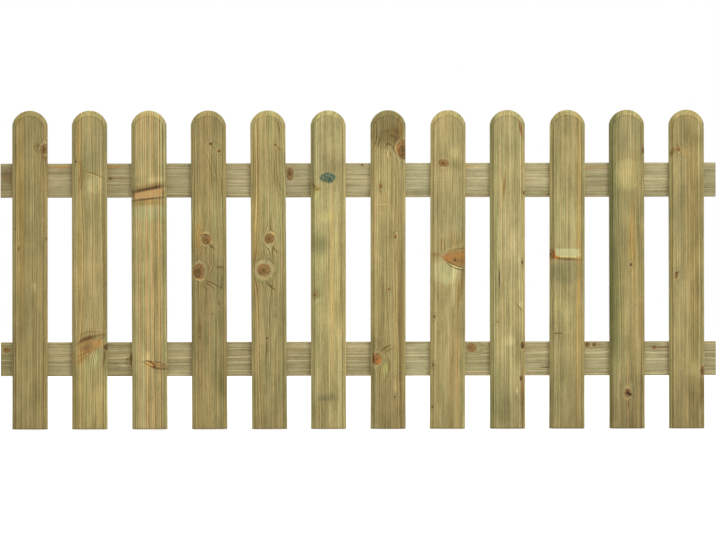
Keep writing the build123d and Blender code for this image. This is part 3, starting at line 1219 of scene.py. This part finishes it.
MARKS["picket_05"] = [
    Mark(29, 752, 24, 1.8, (0.8, 0.74, 0.62), turn=-80, bow=3),
    Mark(22, 706, 8, 1.6, (1.16, 1.1, 1.0), turn=-42, bow=-2),
    Mark(27, 704, 8, 1.8, (0.78, 0.7, 0.56), turn=-40, bow=-2),
    Mark(16, 640, 46, 1.6, (0.88, 0.83, 0.73), turn=-86, bow=-7, soft=0.9),
    Mark(25, 622, 30, 1.8, (0.88, 0.82, 0.72), turn=-74, bow=-4, soft=0.9),
    Mark(12, 491, 10, 1.8, (1.22, 1.14, 1.02), turn=-38, bow=4, soft=0.4, over=True),
    Mark(15, 451, 12, 2.0, (0.76, 0.69, 0.55), turn=-48, bow=-1),
    Mark(-11, 429, 20, 1.2, (0.82, 0.8, 0.68), bow=8, soft=0.4),
    Mark(-11, 422, 20, 3.0, (1.2, 1.2, 1.2), bow=8, soft=0.6),
    Mark(-12, 375, 19, 3.0, (1.22, 1.2, 1.14), bow=-8, soft=0.6),
    Mark(10, 404, 9, 6, (1.12, 1.13, 1.08), turn=20),
    Mark(-32, 500, 9, 200, (1.02, 0.96, 0.88), soft=0.9),
    Mark(2, 360, 15, 1.4, (0.66, 0.6, 0.46), turn=-49, bow=-1.5, soft=0.4),
    Mark(9, 355, 12, 1.3, (0.76, 0.7, 0.56), turn=-44, bow=-1, soft=0.4),
    Mark(15, 389, 9, 1.5, (0.74, 0.68, 0.52), turn=40, bow=-1, soft=0.4),
    Mark(16, 255, 2.5, 22, PALE, soft=0.9),
    Mark(-5, 205, 2.0, 22, BROWN, soft=0.9),
    # Painted shade: darker towards the foot.
    stretch(60, 90, (0.93, 0.93, 0.92)),
    stretch(530, 75, (1.09, 1.11, 1.12)),
    stretch(755, 60, (1.06, 1.07, 1.07)),
]
MARKS["picket_06"] = [
    Mark(4, 700, 44, 100, (0.96, 0.965, 0.97), soft=0.6),
    Mark(14, 665, 24, 30, (0.9, 0.89, 0.87), soft=0.9),
    Mark(-33, 606, 11, 6, (0.88, 0.84, 0.7), turn=-30),
    Mark(-36, 611, 7, 1.8, (0.8, 0.72, 0.54), turn=-50),
    Mark(-27, 601, 8, 1.8, (0.84, 0.76, 0.6), turn=20),
    Mark(-30, 585, 5, 14, (1.12, 1.14, 1.06), turn=-20),
    Mark(2, 560, 34, 30, (1.03, 1.04, 1.04), soft=0.5),
    Mark(-4, 530, 18, 13, (1.08, 1.08, 1.04)),
    Mark(-22, 462, 20, 22, (0.84, 0.86, 0.84), turn=20, soft=0.7),
    Mark(-24, 380, 14, 140, (0.93, 0.95, 0.92)),
    Mark(14, 340, 18, 170, (1.05, 1.03, 0.99)),
    Mark(32, 360, 1.0, 60, BROWN, soft=0.9),
    Mark(-33, 338, 9, 7, (0.88, 0.79, 0.66), turn=20, soft=0.9),
    Mark(-26, 322, 8, 4, PALE, turn=30),
    Mark(-4, 78, 21, 9, (0.82, 0.84, 0.86), turn=8, soft=0.7),
    Mark(-28, 40, 15, 42, (0.92, 0.91, 0.89)),
]
print("marks so far:", sum(len(listed) for listed in MARKS.values()))

# %% [markdown]
# The seventh has a head darkened by a large knot on its edge. On the eighth a
# branch was cut lengthwise, which leaves a leaf of fresh red wood with a thin
# line of bark below it. The ninth has a short black drying crack, and resin and
# small knots down its right edge.

# %% Mark pickets 7 to 9
MARKS["picket_07"] = [
    Mark(0, 760, 50, 58, (0.775, 0.765, 0.725), soft=0.35),
    Mark(9, 738, 19, 20, (0.92, 0.86, 0.75)),
    Mark(-3, 747, 7, 2.6, (0.88, 0.8, 0.7), turn=10, soft=0.9),
    Mark(20, 748, 5, 8, (0.86, 0.78, 0.66), turn=30, soft=0.9),
    Mark(12, 735, 9, 3.4, (0.84, 0.76, 0.64), turn=-28, soft=0.9),
    Mark(22, 728, 4, 8, (0.8, 0.7, 0.58), turn=-40, soft=0.9),
    Mark(31, 744, 3.8, 34, (1.02, 0.9, 0.7), soft=0.7),
    Mark(-29, 727, 28, 1.8, (0.8, 0.74, 0.6), turn=80, bow=-4, soft=0.7),
    Mark(-21, 723, 24, 1.8, (0.82, 0.76, 0.62), turn=74, bow=-3, soft=0.7),
    Mark(2, 715, 13, 2.2, (0.74, 0.66, 0.52), bow=16, soft=0.6),
    Mark(0, 700, 10, 14, (1.06, 1.07, 1.08), soft=0.9),
    stretch(350, 340, (0.985, 0.975, 0.955), soft=0.4),
    Mark(14, 706, 17, 1.8, (0.72, 0.62, 0.48), turn=90, bow=6, soft=0.6),
    Mark(18.5, 708, 17, 1.6, (1.24, 1.16, 1.02), turn=90, bow=7, soft=0.4, over=True),
    Mark(27, 704, 15, 1.4, (1.2, 1.06, 0.84), turn=90, bow=6, soft=0.4, over=True),
    Mark(-6, 612, 30, 42, (1.05, 1.05, 1.05), soft=0.7),
    Mark(-15, 563, 16, 0.9, (1.18, 1.18, 1.18), bow=-1),
    Mark(15, 490, 11, 1.4, (0.78, 0.7, 0.56), turn=64, bow=4),
    Mark(23, 490, 11, 1.4, (1.14, 1.1, 1.04), turn=116, bow=-3),
    Mark(-20, 596, 9, 1.5, (0.82, 0.74, 0.6), turn=110, bow=2),
    Mark(-9, 150, 7, 13, (1.1, 1.18, 1.12), turn=-10, soft=0.6),
    Mark(-7, 184, 10, 7, (1.1, 1.11, 1.16), turn=-20, soft=0.7),
    Mark(-7, 203, 15, 2.4, (0.76, 0.7, 0.52), turn=35, bow=2, soft=0.7),
    Mark(1, 197, 12, 1.8, (0.82, 0.76, 0.6), turn=35, bow=2, soft=0.7),
    Mark(3, 157, 42, 1.4, (0.76, 0.7, 0.56), turn=90, bow=-13, soft=0.6),
    Mark(-25, 170, 7, 6, (1.24, 1.06, 0.92), turn=30, soft=0.7, over=True),
    Mark(-28, 184, 6, 2.2, (1.18, 1.04, 0.96), turn=-20, bow=3, over=True),
    Mark(-37, 178, 2.6, 12, (0.7, 0.54, 0.4), over=True),
    Mark(31.5, 260, 3.5, 260, (0.86, 0.78, 0.68), soft=0.7),
    Mark(17, 102, 4, 14, PALE, soft=0.9),
    # Painted shade: darker towards the foot.
    stretch(50, 80, (0.885, 0.875, 0.865)),
]
MARKS["picket_08"] = [
    Mark(18, 662, 15, 11, (0.86, 0.87, 0.84), soft=0.9),
    Mark(16, 692, 12, 9, (1.08, 1.09, 1.1), soft=0.9),
    Mark(-30, 436, 12, 5, (0.88, 0.8, 0.7), turn=-4),
    Mark(-6, 396, 31, 32, (1.13, 1.19, 1.24), turn=-8, soft=0.35),
    Mark(12, 352, 4, 32, (1.08, 1.1, 1.14)),
    Mark(-16, 460, 1.8, 20, (0.78, 0.72, 0.6)),
    Mark(-9, 458, 1.6, 16, (0.78, 0.72, 0.6), turn=4),
    Mark(-12.5, 459, 1.6, 14, (1.14, 1.12, 1.1)),
    Mark(22, 456, 24, 1.8, (1.12, 1.1, 1.04), turn=12, bow=2, over=True),
    Mark(26, 451, 22, 1.6, (0.84, 0.76, 0.64), turn=8, bow=2, soft=0.7, over=True),
    Mark(30, 463, 16, 1.5, (1.14, 1.12, 1.08), turn=16, bow=1, soft=0.4),
    Mark(0, 430, 11, 9, (1.08, 0.98, 0.98), over=True),
    Mark(18.5, 423.5, 3.4, 2.8, (0.5, 0.36, 0.26), soft=0.7, over=True),
    Mark(15, 411, 29, 1.4, (0.6, 0.5, 0.36), turn=-23, bow=-5, soft=0.4, over=True),
    Mark(17, 407.5, 28, 1.5, (1.24, 1.2, 1.18), turn=-23, bow=-5, soft=0.4, over=True),
    Mark(18, 403.5, 27, 1.5, (0.68, 0.62, 0.48), turn=-23, bow=-5, soft=0.4, over=True),
    Mark(20, 470, 22, 18, (0.93, 0.9, 0.86)),
    stretch(530, 60, (0.945, 0.955, 0.96)),
    Mark(30, 434, 14, 5, (1.08, 1.03, 0.96), turn=10, over=True),
    Mark(32, 420, 12, 4, (0.93, 0.9, 0.86), turn=-16, over=True),
    Mark(32, 352, 6, 40, (0.88, 0.82, 0.74), turn=-8),
    Mark(25, 170, 2.4, 170, (1.05, 0.96, 0.87)),
    # Painted shade: darker towards the foot.
    stretch(50, 80, (0.95, 0.95, 0.945)),
]
MARKS["picket_09"] = [
    Mark(0, 745, 50, 62, (0.92, 0.93, 0.93), soft=0.5),
    Mark(33, 752, 3.4, 17, (0.8, 0.6, 0.5), turn=12),
    stretch(460, 120, (1.045, 1.05, 1.08), soft=0.5),
    Mark(-32, 440, 11, 150, (0.92, 0.93, 0.9)),
    Mark(-8, 607, 3, 24, (0.85, 0.73, 0.59), turn=-4, soft=0.9),
    Mark(-14, 600, 3, 26, (1.12, 1.1, 1.08), soft=0.9),
    Mark(-22, 470, 3, 40, (1.16, 1.18, 1.22)),
    Mark(30, 303, 9, 1.6, BROWN, turn=-50),
    Mark(34, 312, 4, 7, PALE),
    Mark(-20.5, 376, 1.1, 21, (0.26, 0.22, 0.18), soft=0.6),
    Mark(5, 219, 12, 11, (1.12, 1.13, 1.18), soft=0.9),
    Mark(23, 95, 2.0, 8, (1.3, 1.3, 1.3)),
    Mark(37, 80, 3.2, 90, (0.74, 0.64, 0.52), soft=0.6),
    # Painted shade: the two marks below darken the foot.
    Mark(-20, 60, 26, 90, (0.87, 0.89, 0.87)),
    Mark(14, 40, 30, 70, (0.885, 0.88, 0.885), soft=0.7),
]
print("marks so far:", sum(len(listed) for listed in MARKS.values()))

# %% [markdown]
# On the tenth a sliver broke out beside a knot and left a pale clean patch with
# a resinous lower edge. The eleventh is dark down its left side, and has a dead
# knot near its foot. The twelfth is plain, with small knots that show cut bark.

# %% Mark pickets 10 to 12
MARKS["picket_10"] = [
    Mark(28, 400, 4.5, 400, (1.05, 0.96, 0.84)),
    Mark(0, 393, 43, 30, (0.86, 0.88, 0.88), soft=0.3),
    Mark(0, 441, 33, 10.5, (1.17, 1.25, 1.34), soft=0.12, square=0.8, smooth=0.5),
    Mark(2, 430.5, 31, 2.2, (1.14, 1.13, 1.03), turn=-3, soft=0.5, over=True),
    Mark(2, 425, 30, 3.4, (0.78, 0.7, 0.6), turn=-2, soft=0.7),
    Mark(-33, 438, 3.4, 12, (0.95, 0.72, 0.52), soft=0.5, over=True),
    Mark(-26, 430, 9, 3.6, (1.0, 0.72, 0.48), turn=-18, soft=0.5, over=True),
    Mark(-14, 290, 18, 48, (1.07, 1.08, 1.09), soft=0.5, square=0.6),
    Mark(-20, 239, 9, 1.8, BROWN, soft=0.7),
    Mark(-6, 241, 12, 1.4, (1.14, 1.12, 1.06), soft=0.7),
    Mark(-18, 100, 14, 20, (1.07, 1.08, 1.1), soft=0.9),
    # Painted shade: darker towards the foot.
    stretch(50, 80, (0.9, 0.9, 0.9)),
    stretch(530, 70, (1.035, 1.05, 1.06)),
]
MARKS["picket_11"] = [
    Mark(-33, 500, 14, 290, (0.84, 0.87, 0.83)),
    Mark(14, 500, 27, 290, (1.05, 1.045, 1.04), soft=0.6),
    Mark(8, 745, 30, 45, (1.03, 1.05, 1.09), soft=0.7),
    Mark(2, 637, 31, 38, (1.1, 1.11, 1.12), soft=0.2, square=0.4),
    stretch(530, 60, (0.94, 0.955, 0.97)),
    Mark(0, 720, 34, 30, (0.95, 0.955, 0.96)),
    Mark(12, 475, 9, 90, (1.06, 0.98, 0.88)),
    Mark(-26, 305, 16, 115, (0.88, 0.9, 0.85), soft=0.7),
    Mark(-41, 400, 1.6, 380, (0.8, 0.83, 0.76), soft=0.9),
    Mark(4, 106, 12, 7, PALE, turn=20, soft=0.9),
    Mark(6, 86, 6.5, 3.4, (0.5, 0.38, 0.34), turn=-30, soft=0.6, over=True),
    Mark(1, 92, 3, 5, (0.6, 0.46, 0.36), soft=0.7, over=True),
    Mark(3, 62, 2.4, 12, (0.84, 0.76, 0.62), soft=0.9),
    # Painted shade: darker towards the foot.
    stretch(50, 80, (0.905, 0.885, 0.88)),
]
MARKS["picket_12"] = [
    Mark(18, 450, 14, 340, (1.03, 0.99, 0.93)),
    Mark(-7, 696, 11, 9, (1.12, 1.04, 0.98), turn=-15),
    Mark(-31, 699, 5, 6, (0.8, 0.64, 0.5), turn=20),
    Mark(-38, 690, 4, 7, (0.78, 0.64, 0.5)),
    Mark(-28, 376, 4, 5, (1.16, 1.1, 1.04), turn=30),
    Mark(-24, 391, 3.4, 2.4, (0.62, 0.48, 0.34), turn=20, soft=0.7, over=True),
    Mark(-28, 379, 2.6, 2.2, (0.66, 0.52, 0.38), turn=-30, soft=0.7, over=True),
    Mark(20, 145, 16, 14, (1.07, 1.08, 1.1), soft=0.9),
    Mark(37, 100, 7, 40, (0.84, 0.78, 0.68), soft=0.7),
    # Painted shade: darker towards the foot.
    stretch(50, 80, (0.905, 0.89, 0.88)),
    stretch(530, 60, (0.95, 0.955, 0.96)),
]
print("marks so far:", sum(len(listed) for listed in MARKS.values()))

# %% [markdown]
# The rails only show in the gaps. Each stretch has dried a little differently,
# and resin shows along their upper edges.

# %% Mark the rails
MARKS["top_rail"] = [
    Mark(0, 1330, 80, 470, (1.05, 1.06, 1.08), soft=0.5),
    Mark(0, 10, 44, 26, (0.81, 0.8, 0.76), soft=0.6),
    stretch(150, 40, (0.98, 0.98, 0.98), soft=0.4),
    stretch(300, 40, (0.95, 0.95, 0.94), soft=0.4),
    stretch(525, 130, (0.955, 0.955, 0.955), soft=0.4),
    stretch(750, 40, (0.92, 0.925, 0.925), soft=0.4),
    stretch(1050, 36, (0.96, 0.98, 0.98), soft=0.4),
    stretch(1500, 40, (0.93, 0.925, 0.91), soft=0.4),
    stretch(1795, 26, (0.91, 0.93, 0.92)),
    Mark(-10, 17, 15, 13, (0.88, 0.82, 0.74), soft=0.6),
    Mark(-34, 151, 3, 30, (1.04, 0.88, 0.7), soft=0.7),
    Mark(-34, 285, 3, 17, (1.04, 0.88, 0.7), soft=0.7),
    Mark(-6, 302, 1.8, 25, BROWN),
    Mark(-34, 1160, 3, 40, (1.04, 0.92, 0.76), soft=0.7),
    Mark(-30, 1482, 2, 40, (0.98, 0.84, 0.72)),
    Mark(0, 1504, 14, 22, (0.88, 0.89, 0.87), soft=0.9),
]
MARKS["bottom_rail"] = [
    Mark(0, 1330, 80, 470, (1.04, 1.05, 1.07), soft=0.5),
    Mark(0, 8, 44, 24, (0.86, 0.86, 0.8), soft=0.6),
    stretch(300, 36, (0.94, 0.935, 0.91), soft=0.4),
    stretch(1050, 36, (1.03, 1.05, 1.07), soft=0.4),
    stretch(1200, 36, (0.96, 0.96, 0.94), soft=0.4),
    stretch(1735, 110, (0.955, 0.955, 0.955), soft=0.5),
    Mark(16, 308, 9, 9, PALE),
    Mark(22, 1371, 1.4, 12, DARK),
    Mark(-28, 1665, 2, 22, BROWN),
]
print("marks in all:", sum(len(listed) for listed in MARKS.values()))

# %% [markdown]
# ## A material for each board
#
# One function fills each board's material from the shared groups, in the order in
# which the wood came to look as it does: the grain bends round the knots, the
# rings follow, then the colour of the treated wood, the marks, the knots with the
# marks on top of them, and the worked edges. A Mapping node turns the object's
# metres into the board's own millimetres: across from its centre line, up from
# its foot, and deep from its rear face.

# %% Put a board's wood together
def call(tree, group, **values):
    """Place a group and feed its inputs by name, with spaces written as underscores."""
    feeds = {title.replace("_", " "): value for title, value in values.items()}
    made = add_node(tree, "ShaderNodeGroup", feeds, node_tree=group)
    return [Term(tree, output) for output in made.outputs]


def paint(colour, place, ragged, marks):
    """Lay marks over a colour, one after another."""
    for mark in marks:
        colour, = call(colour.tree, MARK_GROUP, Place=place, Ragged=ragged, Colour=colour,
                       Across=mark.across, Up=mark.up, Half_Width=mark.half_width,
                       Half_Height=mark.half_height, Turn=mark.turn, Tint=mark.tint,
                       Soft=mark.soft, Square=mark.square, Smooth=mark.smooth, Bow=mark.bow)
    return colour


def dress(name, origin, turn, seed):
    """Fill the material of one board, whose own origin and turn are given in metres."""
    board, knots, marks = BOARDS[name], KNOTS[name], MARKS[name]
    WOOD[name].use_nodes = True
    tree = WOOD[name].node_tree
    shader = tree.nodes["Principled BSDF"]
    where = tree.nodes.new("ShaderNodeTexCoord")
    mapping = add_node(tree, "ShaderNodeMapping", {
        "Vector": Term(tree, where.outputs["Object"]), "Location": origin,
        "Rotation": (0, turn, 0), "Scale": (MM, MM, MM),
    }, vector_type="TEXTURE")
    place = Term(tree, mapping.outputs[0])
    ragged = noise(place, (4.5, 4.5, 9), seed + 60, detail=3.0)
    speck = noise(place, (2.0, 2.2, 4.5), seed + 70, detail=1.0)

    shift, near = 0.0, 0.0
    for knot in knots:
        shift, near = call(tree, GRAIN_BEND, Place=place, Shift=shift, Near=near,
                           Across=knot.across, Up=knot.up, Reach=knot.pull)
    late, year = call(tree, GROWTH_RINGS, Place=place, Shift=shift, Seed=seed, **board["rings"])
    colour, fibre, ripple = call(tree, TREATED_WOOD, Place=place, Late=late, Year=year,
                                 Near=near, Speck=speck, Seed=seed, **board["wood"])
    colour = paint(colour, place, ragged, [mark for mark in marks if not mark.over])
    for knot in knots:
        colour, = call(tree, KNOT_GROUP, Place=place, Ragged=ragged, Colour=colour,
                       Across=knot.across, Up=knot.up, Half_Width=knot.half_width,
                       Half_Height=knot.half_height, Turn=knot.turn, Speck=speck,
                       Dark=knot.dark, Halo=knot.halo, Spread=knot.spread,
                       Fresh=knot.fresh, Stain=knot.stain, Shown=knot.shown)
    colour = paint(colour, place, ragged, [mark for mark in marks if mark.over])
    if "edges" in board:
        colour, = call(tree, WORKED_EDGE, Place=place, Ragged=ragged, Colour=colour,
                       **board["edges"])
    plug(tree, shader.inputs["Base Color"], colour)
    shader.inputs["Specular IOR Level"].default_value = 0.35
    plug(tree, shader.inputs["Roughness"], late * -0.1 + fibre * 0.06 + 0.64)
    height = late * 0.1 + fibre * 0.05 + ripple * 0.08
    bump = add_node(tree, "ShaderNodeBump", {"Height": height, "Distance": MM})
    plug(tree, shader.inputs["Normal"], Term(tree, bump.outputs[0]))


for name in PICKETS:
    foot_across, foot_up, tilt = FOOT[name]
    dress(name, (foot_across, RAIL_FACE, foot_up), -tilt, float(name[-2:]))
for number, name in enumerate(RAILS):
    dress(name, (RAIL_START, 0, RAIL_LEVEL[name]), math.radians(90), 30.0 + number)
print("dressed:", len(WOOD), "boards, with up to",
      max(len(wood.node_tree.nodes) for wood in WOOD.values()), "nodes each")

# %% [markdown]
# ## Screws behind
#
# Nothing holds the boards from the front, so they are screwed from behind, with
# two screws on a diagonal at every crossing, which stops a picket from turning.
# One screw head is modelled once, with its cross recess. Geometry Nodes set the
# crossings out as a grid, put two points at each, and turn every head by chance,
# as a driver leaves them.

# %% Model one screw head
def make_screw_head(radius=4 * MM, depth=1.6 * MM):
    """A flat countersunk head that faces +Y, with a cross recess of its own."""
    form = bmesh.new()
    count = 24
    angles = [math.tau * step / count for step in range(count)]
    rim = [form.verts.new((radius * math.cos(a), 0, radius * math.sin(a))) for a in angles]
    chamfer = [form.verts.new((0.93 * radius * math.cos(a), 0.15 * MM, 0.93 * radius * math.sin(a)))
               for a in angles]
    skirt = [form.verts.new((0.6 * radius * math.cos(a), -depth, 0.6 * radius * math.sin(a)))
             for a in angles]
    arm, web = 0.55 * radius, 0.16 * radius
    cross = []
    for quarter in range(4):
        a = math.pi / 2 * quarter
        for out, side in ((arm, -web), (arm, web), (web, web)):
            cross.append((out * math.cos(a) - side * math.sin(a),
                          out * math.sin(a) + side * math.cos(a)))
    lip = [form.verts.new((x, 0.2 * MM, z)) for x, z in cross]
    floor = [form.verts.new((0.7 * x, -1.1 * MM, 0.7 * z)) for x, z in cross]
    for here in range(count):
        after = (here + 1) % count
        form.faces.new((rim[here], rim[after], chamfer[after], chamfer[here]))
        form.faces.new((skirt[here], skirt[after], rim[after], rim[here]))
    form.faces.new(skirt)
    for here in range(12):
        after = (here + 1) % 12
        form.faces.new((lip[here], lip[after], floor[after], floor[here]))
        form.faces.new((lip[here], chamfer[2 * here], chamfer[(2 * here + 1) % 24], lip[after]))
        form.faces.new((lip[after], chamfer[(2 * here + 1) % 24], chamfer[(2 * here + 2) % 24]))
    form.faces.new(floor)
    bmesh.ops.recalc_face_normals(form, faces=form.faces)
    mesh = bpy.data.meshes.new("screw_head")
    form.to_mesh(mesh)
    form.free()
    head = bpy.data.objects.new("screw_head", mesh)
    bpy.context.scene.collection.objects.link(head)
    return head


SCREW_HEAD = make_screw_head()
print("screw head:", len(SCREW_HEAD.data.polygons), "faces")

# %% Set the screws out
SCREW_SIZES = [
    ("Head", "NodeSocketObject", None), ("Pickets", COUNT, 12), ("Pitch", FLOAT, PICKET_PITCH),
    ("First Picket", FLOAT, FIRST_PICKET), ("Rail Spacing", FLOAT, RAIL_SPACING),
    ("Offset Across", FLOAT, SCREW_OFFSET), ("Offset Up", FLOAT, SCREW_OFFSET),
    ("Sunk", FLOAT, 0.3 * MM), ("Seed", COUNT, 5), ("Metal", FINISH, None),
]


def build_screw_tree():
    tree, size, outlet = new_group(
        "GeometryNodeTree", "Rear screws", SCREW_SIZES, [("Geometry", SHAPE)]
    )
    run = size["Pitch"] * (size["Pickets"] - 1)
    grid = add_node(tree, "GeometryNodeMeshGrid", {
        "Size X": run, "Size Y": size["Rail Spacing"],
        "Vertices X": size["Pickets"], "Vertices Y": 2,
    })
    at = add_node(tree, "GeometryNodeInputPosition")
    along, level, _ = Term(tree, at.outputs[0]).parts()
    crossing = vector(tree, along + run / 2 + size["First Picket"], 0,
                      level - size["Rail Spacing"] / 2)
    crossings = add_node(tree, "GeometryNodeSetPosition", {
        "Geometry": Term(tree, grid.outputs["Mesh"]), "Position": crossing,
    })
    across, up = size["Offset Across"], size["Offset Up"]
    pair = add_node(tree, "GeometryNodeMeshLine", {
        "Count": 2, "Start Location": vector(tree, across * -1, 0, up * -1),
        "Offset": vector(tree, across * 2, 0, up * 2),
    })
    pairs = add_node(tree, "GeometryNodeInstanceOnPoints", {
        "Points": Term(tree, crossings.outputs[0]), "Instance": Term(tree, pair.outputs[0]),
    })
    places = add_node(tree, "GeometryNodeRealizeInstances", {
        "Geometry": Term(tree, pairs.outputs[0]),
    })
    head = add_node(tree, "GeometryNodeObjectInfo", {"Object": size["Head"]})
    chance = add_node(tree, "FunctionNodeRandomValue", {"Max": math.tau, "Seed": size["Seed"]})
    turned = vector(tree, 0, Term(tree, chance.outputs["Value"]), 0)
    heads = add_node(tree, "GeometryNodeInstanceOnPoints", {
        "Points": Term(tree, places.outputs[0]), "Instance": Term(tree, head.outputs["Geometry"]),
        "Rotation": turned,
    })
    sunk = add_node(tree, "GeometryNodeSetPosition", {
        "Geometry": Term(tree, heads.outputs[0]), "Offset": vector(tree, 0, size["Sunk"] * -1, 0),
    })
    finish_tree(tree, Term(tree, sunk.outputs[0]), size["Metal"], outlet)
    return tree


METAL = bpy.data.materials.new("passivated_screw")
METAL.use_nodes = True
screws = make_with_tree("rear_screws", build_screw_tree(), Head=SCREW_HEAD, Metal=METAL)
bpy.data.objects.remove(SCREW_HEAD)
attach(screws, "root")
print("screws:", len(screws.data.polygons), "faces")

# %% [markdown]
# The screws are zinc plated and passivated to a dull yellow, which has a faint
# rainbow in it and dirt in the recess.

# %% Finish the screws
def dress_screws():
    tree = METAL.node_tree
    shader = tree.nodes["Principled BSDF"]
    where = tree.nodes.new("ShaderNodeTexCoord")
    mapping = add_node(tree, "ShaderNodeMapping", {
        "Vector": Term(tree, where.outputs["Object"]), "Scale": (MM, MM, MM),
    }, vector_type="TEXTURE")
    place = Term(tree, mapping.outputs[0])
    film = noise(place, (3, 3, 3), 1.0, detail=2.0)
    colour = mix(plain(tree, tone(196, 174, 110)), tone(176, 176, 160), film.ramp(-0.6, 0.8))
    _, deep, _ = place.parts()
    colour = mix(colour, tone(74, 62, 44), (1 - deep.ramp(-1.4, -0.4)) * 0.8)
    plug(tree, shader.inputs["Base Color"], colour)
    shader.inputs["Metallic"].default_value = 1.0
    plug(tree, shader.inputs["Roughness"], film * 0.08 + 0.38)


dress_screws()

# %% [markdown]
# ## Floor, light and camera
#
# The panel stands on a pale floor in front of plain white. The floor reflects
# light and takes the shadow like any other, and only the camera sees it lifted
# to white, so no extra light falls on the wood.

# %% Lay the floor
def seen_directly(tree):
    """1 for what the camera, a mirror or a glass sees, and 0 for light that falls elsewhere."""
    path = tree.nodes.new("ShaderNodeLightPath")
    seen = Term(tree, path.outputs["Is Camera Ray"])
    seen = seen.most(Term(tree, path.outputs["Is Glossy Ray"]))
    return seen.most(Term(tree, path.outputs["Is Transmission Ray"]))


GROUND = CAD_BOX[0][2]
MIDDLE = (0.88, 0, -0.22)
bpy.ops.mesh.primitive_plane_add(size=24, location=(MIDDLE[0], 0, GROUND - 0.001))
floor = bpy.context.object
floor.name = "floor"
floor_paint = bpy.data.materials.new("floor_paint")
floor_paint.use_nodes = True
nodes = floor_paint.node_tree.nodes
shader = nodes["Principled BSDF"]
shader.inputs["Base Color"].default_value = (0.8, 0.8, 0.8, 1)
shader.inputs["Roughness"].default_value = 0.9
shader.inputs["Emission Color"].default_value = (1, 1, 1, 1)
plug(floor_paint.node_tree, shader.inputs["Emission Strength"],
     seen_directly(floor_paint.node_tree) * 0.45)
floor.data.materials.append(floor_paint)
print("floor just below", round(GROUND, 4))

# %% Light it softly
world = bpy.data.worlds.new("studio")
bpy.context.scene.world = world
world.use_nodes = True
tree = world.node_tree
backdrop = tree.nodes["Background"]
backdrop.inputs["Color"].default_value = (1, 1, 1, 1)
plug(tree, backdrop.inputs["Strength"], seen_directly(tree) * 0.38 + 0.62)


def soft_lamp(name, place, size, power):
    """A square area lamp that faces the middle of the panel."""
    lamp = bpy.data.lights.new(name, "AREA")
    lamp.shape = "SQUARE"
    lamp.size = size
    lamp.energy = power
    holder = bpy.data.objects.new(name, lamp)
    holder.location = place
    heading = Vector(MIDDLE) - Vector(place)
    holder.rotation_euler = heading.to_track_quat("-Z", "Y").to_euler()
    bpy.context.scene.collection.objects.link(holder)
    return holder


lamps = [soft_lamp("key", (4.4, -6.4, 6.2), 4.5, 345),
         soft_lamp("back_fill", (-2.2, 6.5, 3.0), 3.0, 200)]
print("lamps:", [lamp.name for lamp in lamps])

# %% [markdown]
# The camera stands well back and straight in front of the panel, level with its
# middle, so that the boards hardly converge. The lens is chosen so that the
# picture's width covers a stretch just as long as the rails at the pickets' front.

# %% Set up the camera
DISTANCE = 7.0
VIEW_WIDTH = 1.7973
VIEW_CENTRE = (0.8770, -0.2264)
PICKET_FRONT = -46 * MM
view = bpy.data.cameras.new("camera")
view.type = "PERSP"
view.sensor_width = 36
view.lens = view.sensor_width * DISTANCE / VIEW_WIDTH
camera = bpy.data.objects.new("camera", view)
camera.location = (VIEW_CENTRE[0], PICKET_FRONT - DISTANCE, VIEW_CENTRE[1])
camera.rotation_euler = (math.radians(90), math.radians(0.1), 0)
bpy.context.scene.collection.objects.link(camera)
bpy.context.scene.camera = camera
bpy.context.scene.view_settings.view_transform = "Standard"
print("focal length:", round(view.lens, 1), "mm")

# %% Show the box of the imported model
print("CAD box", CAD_BOX)
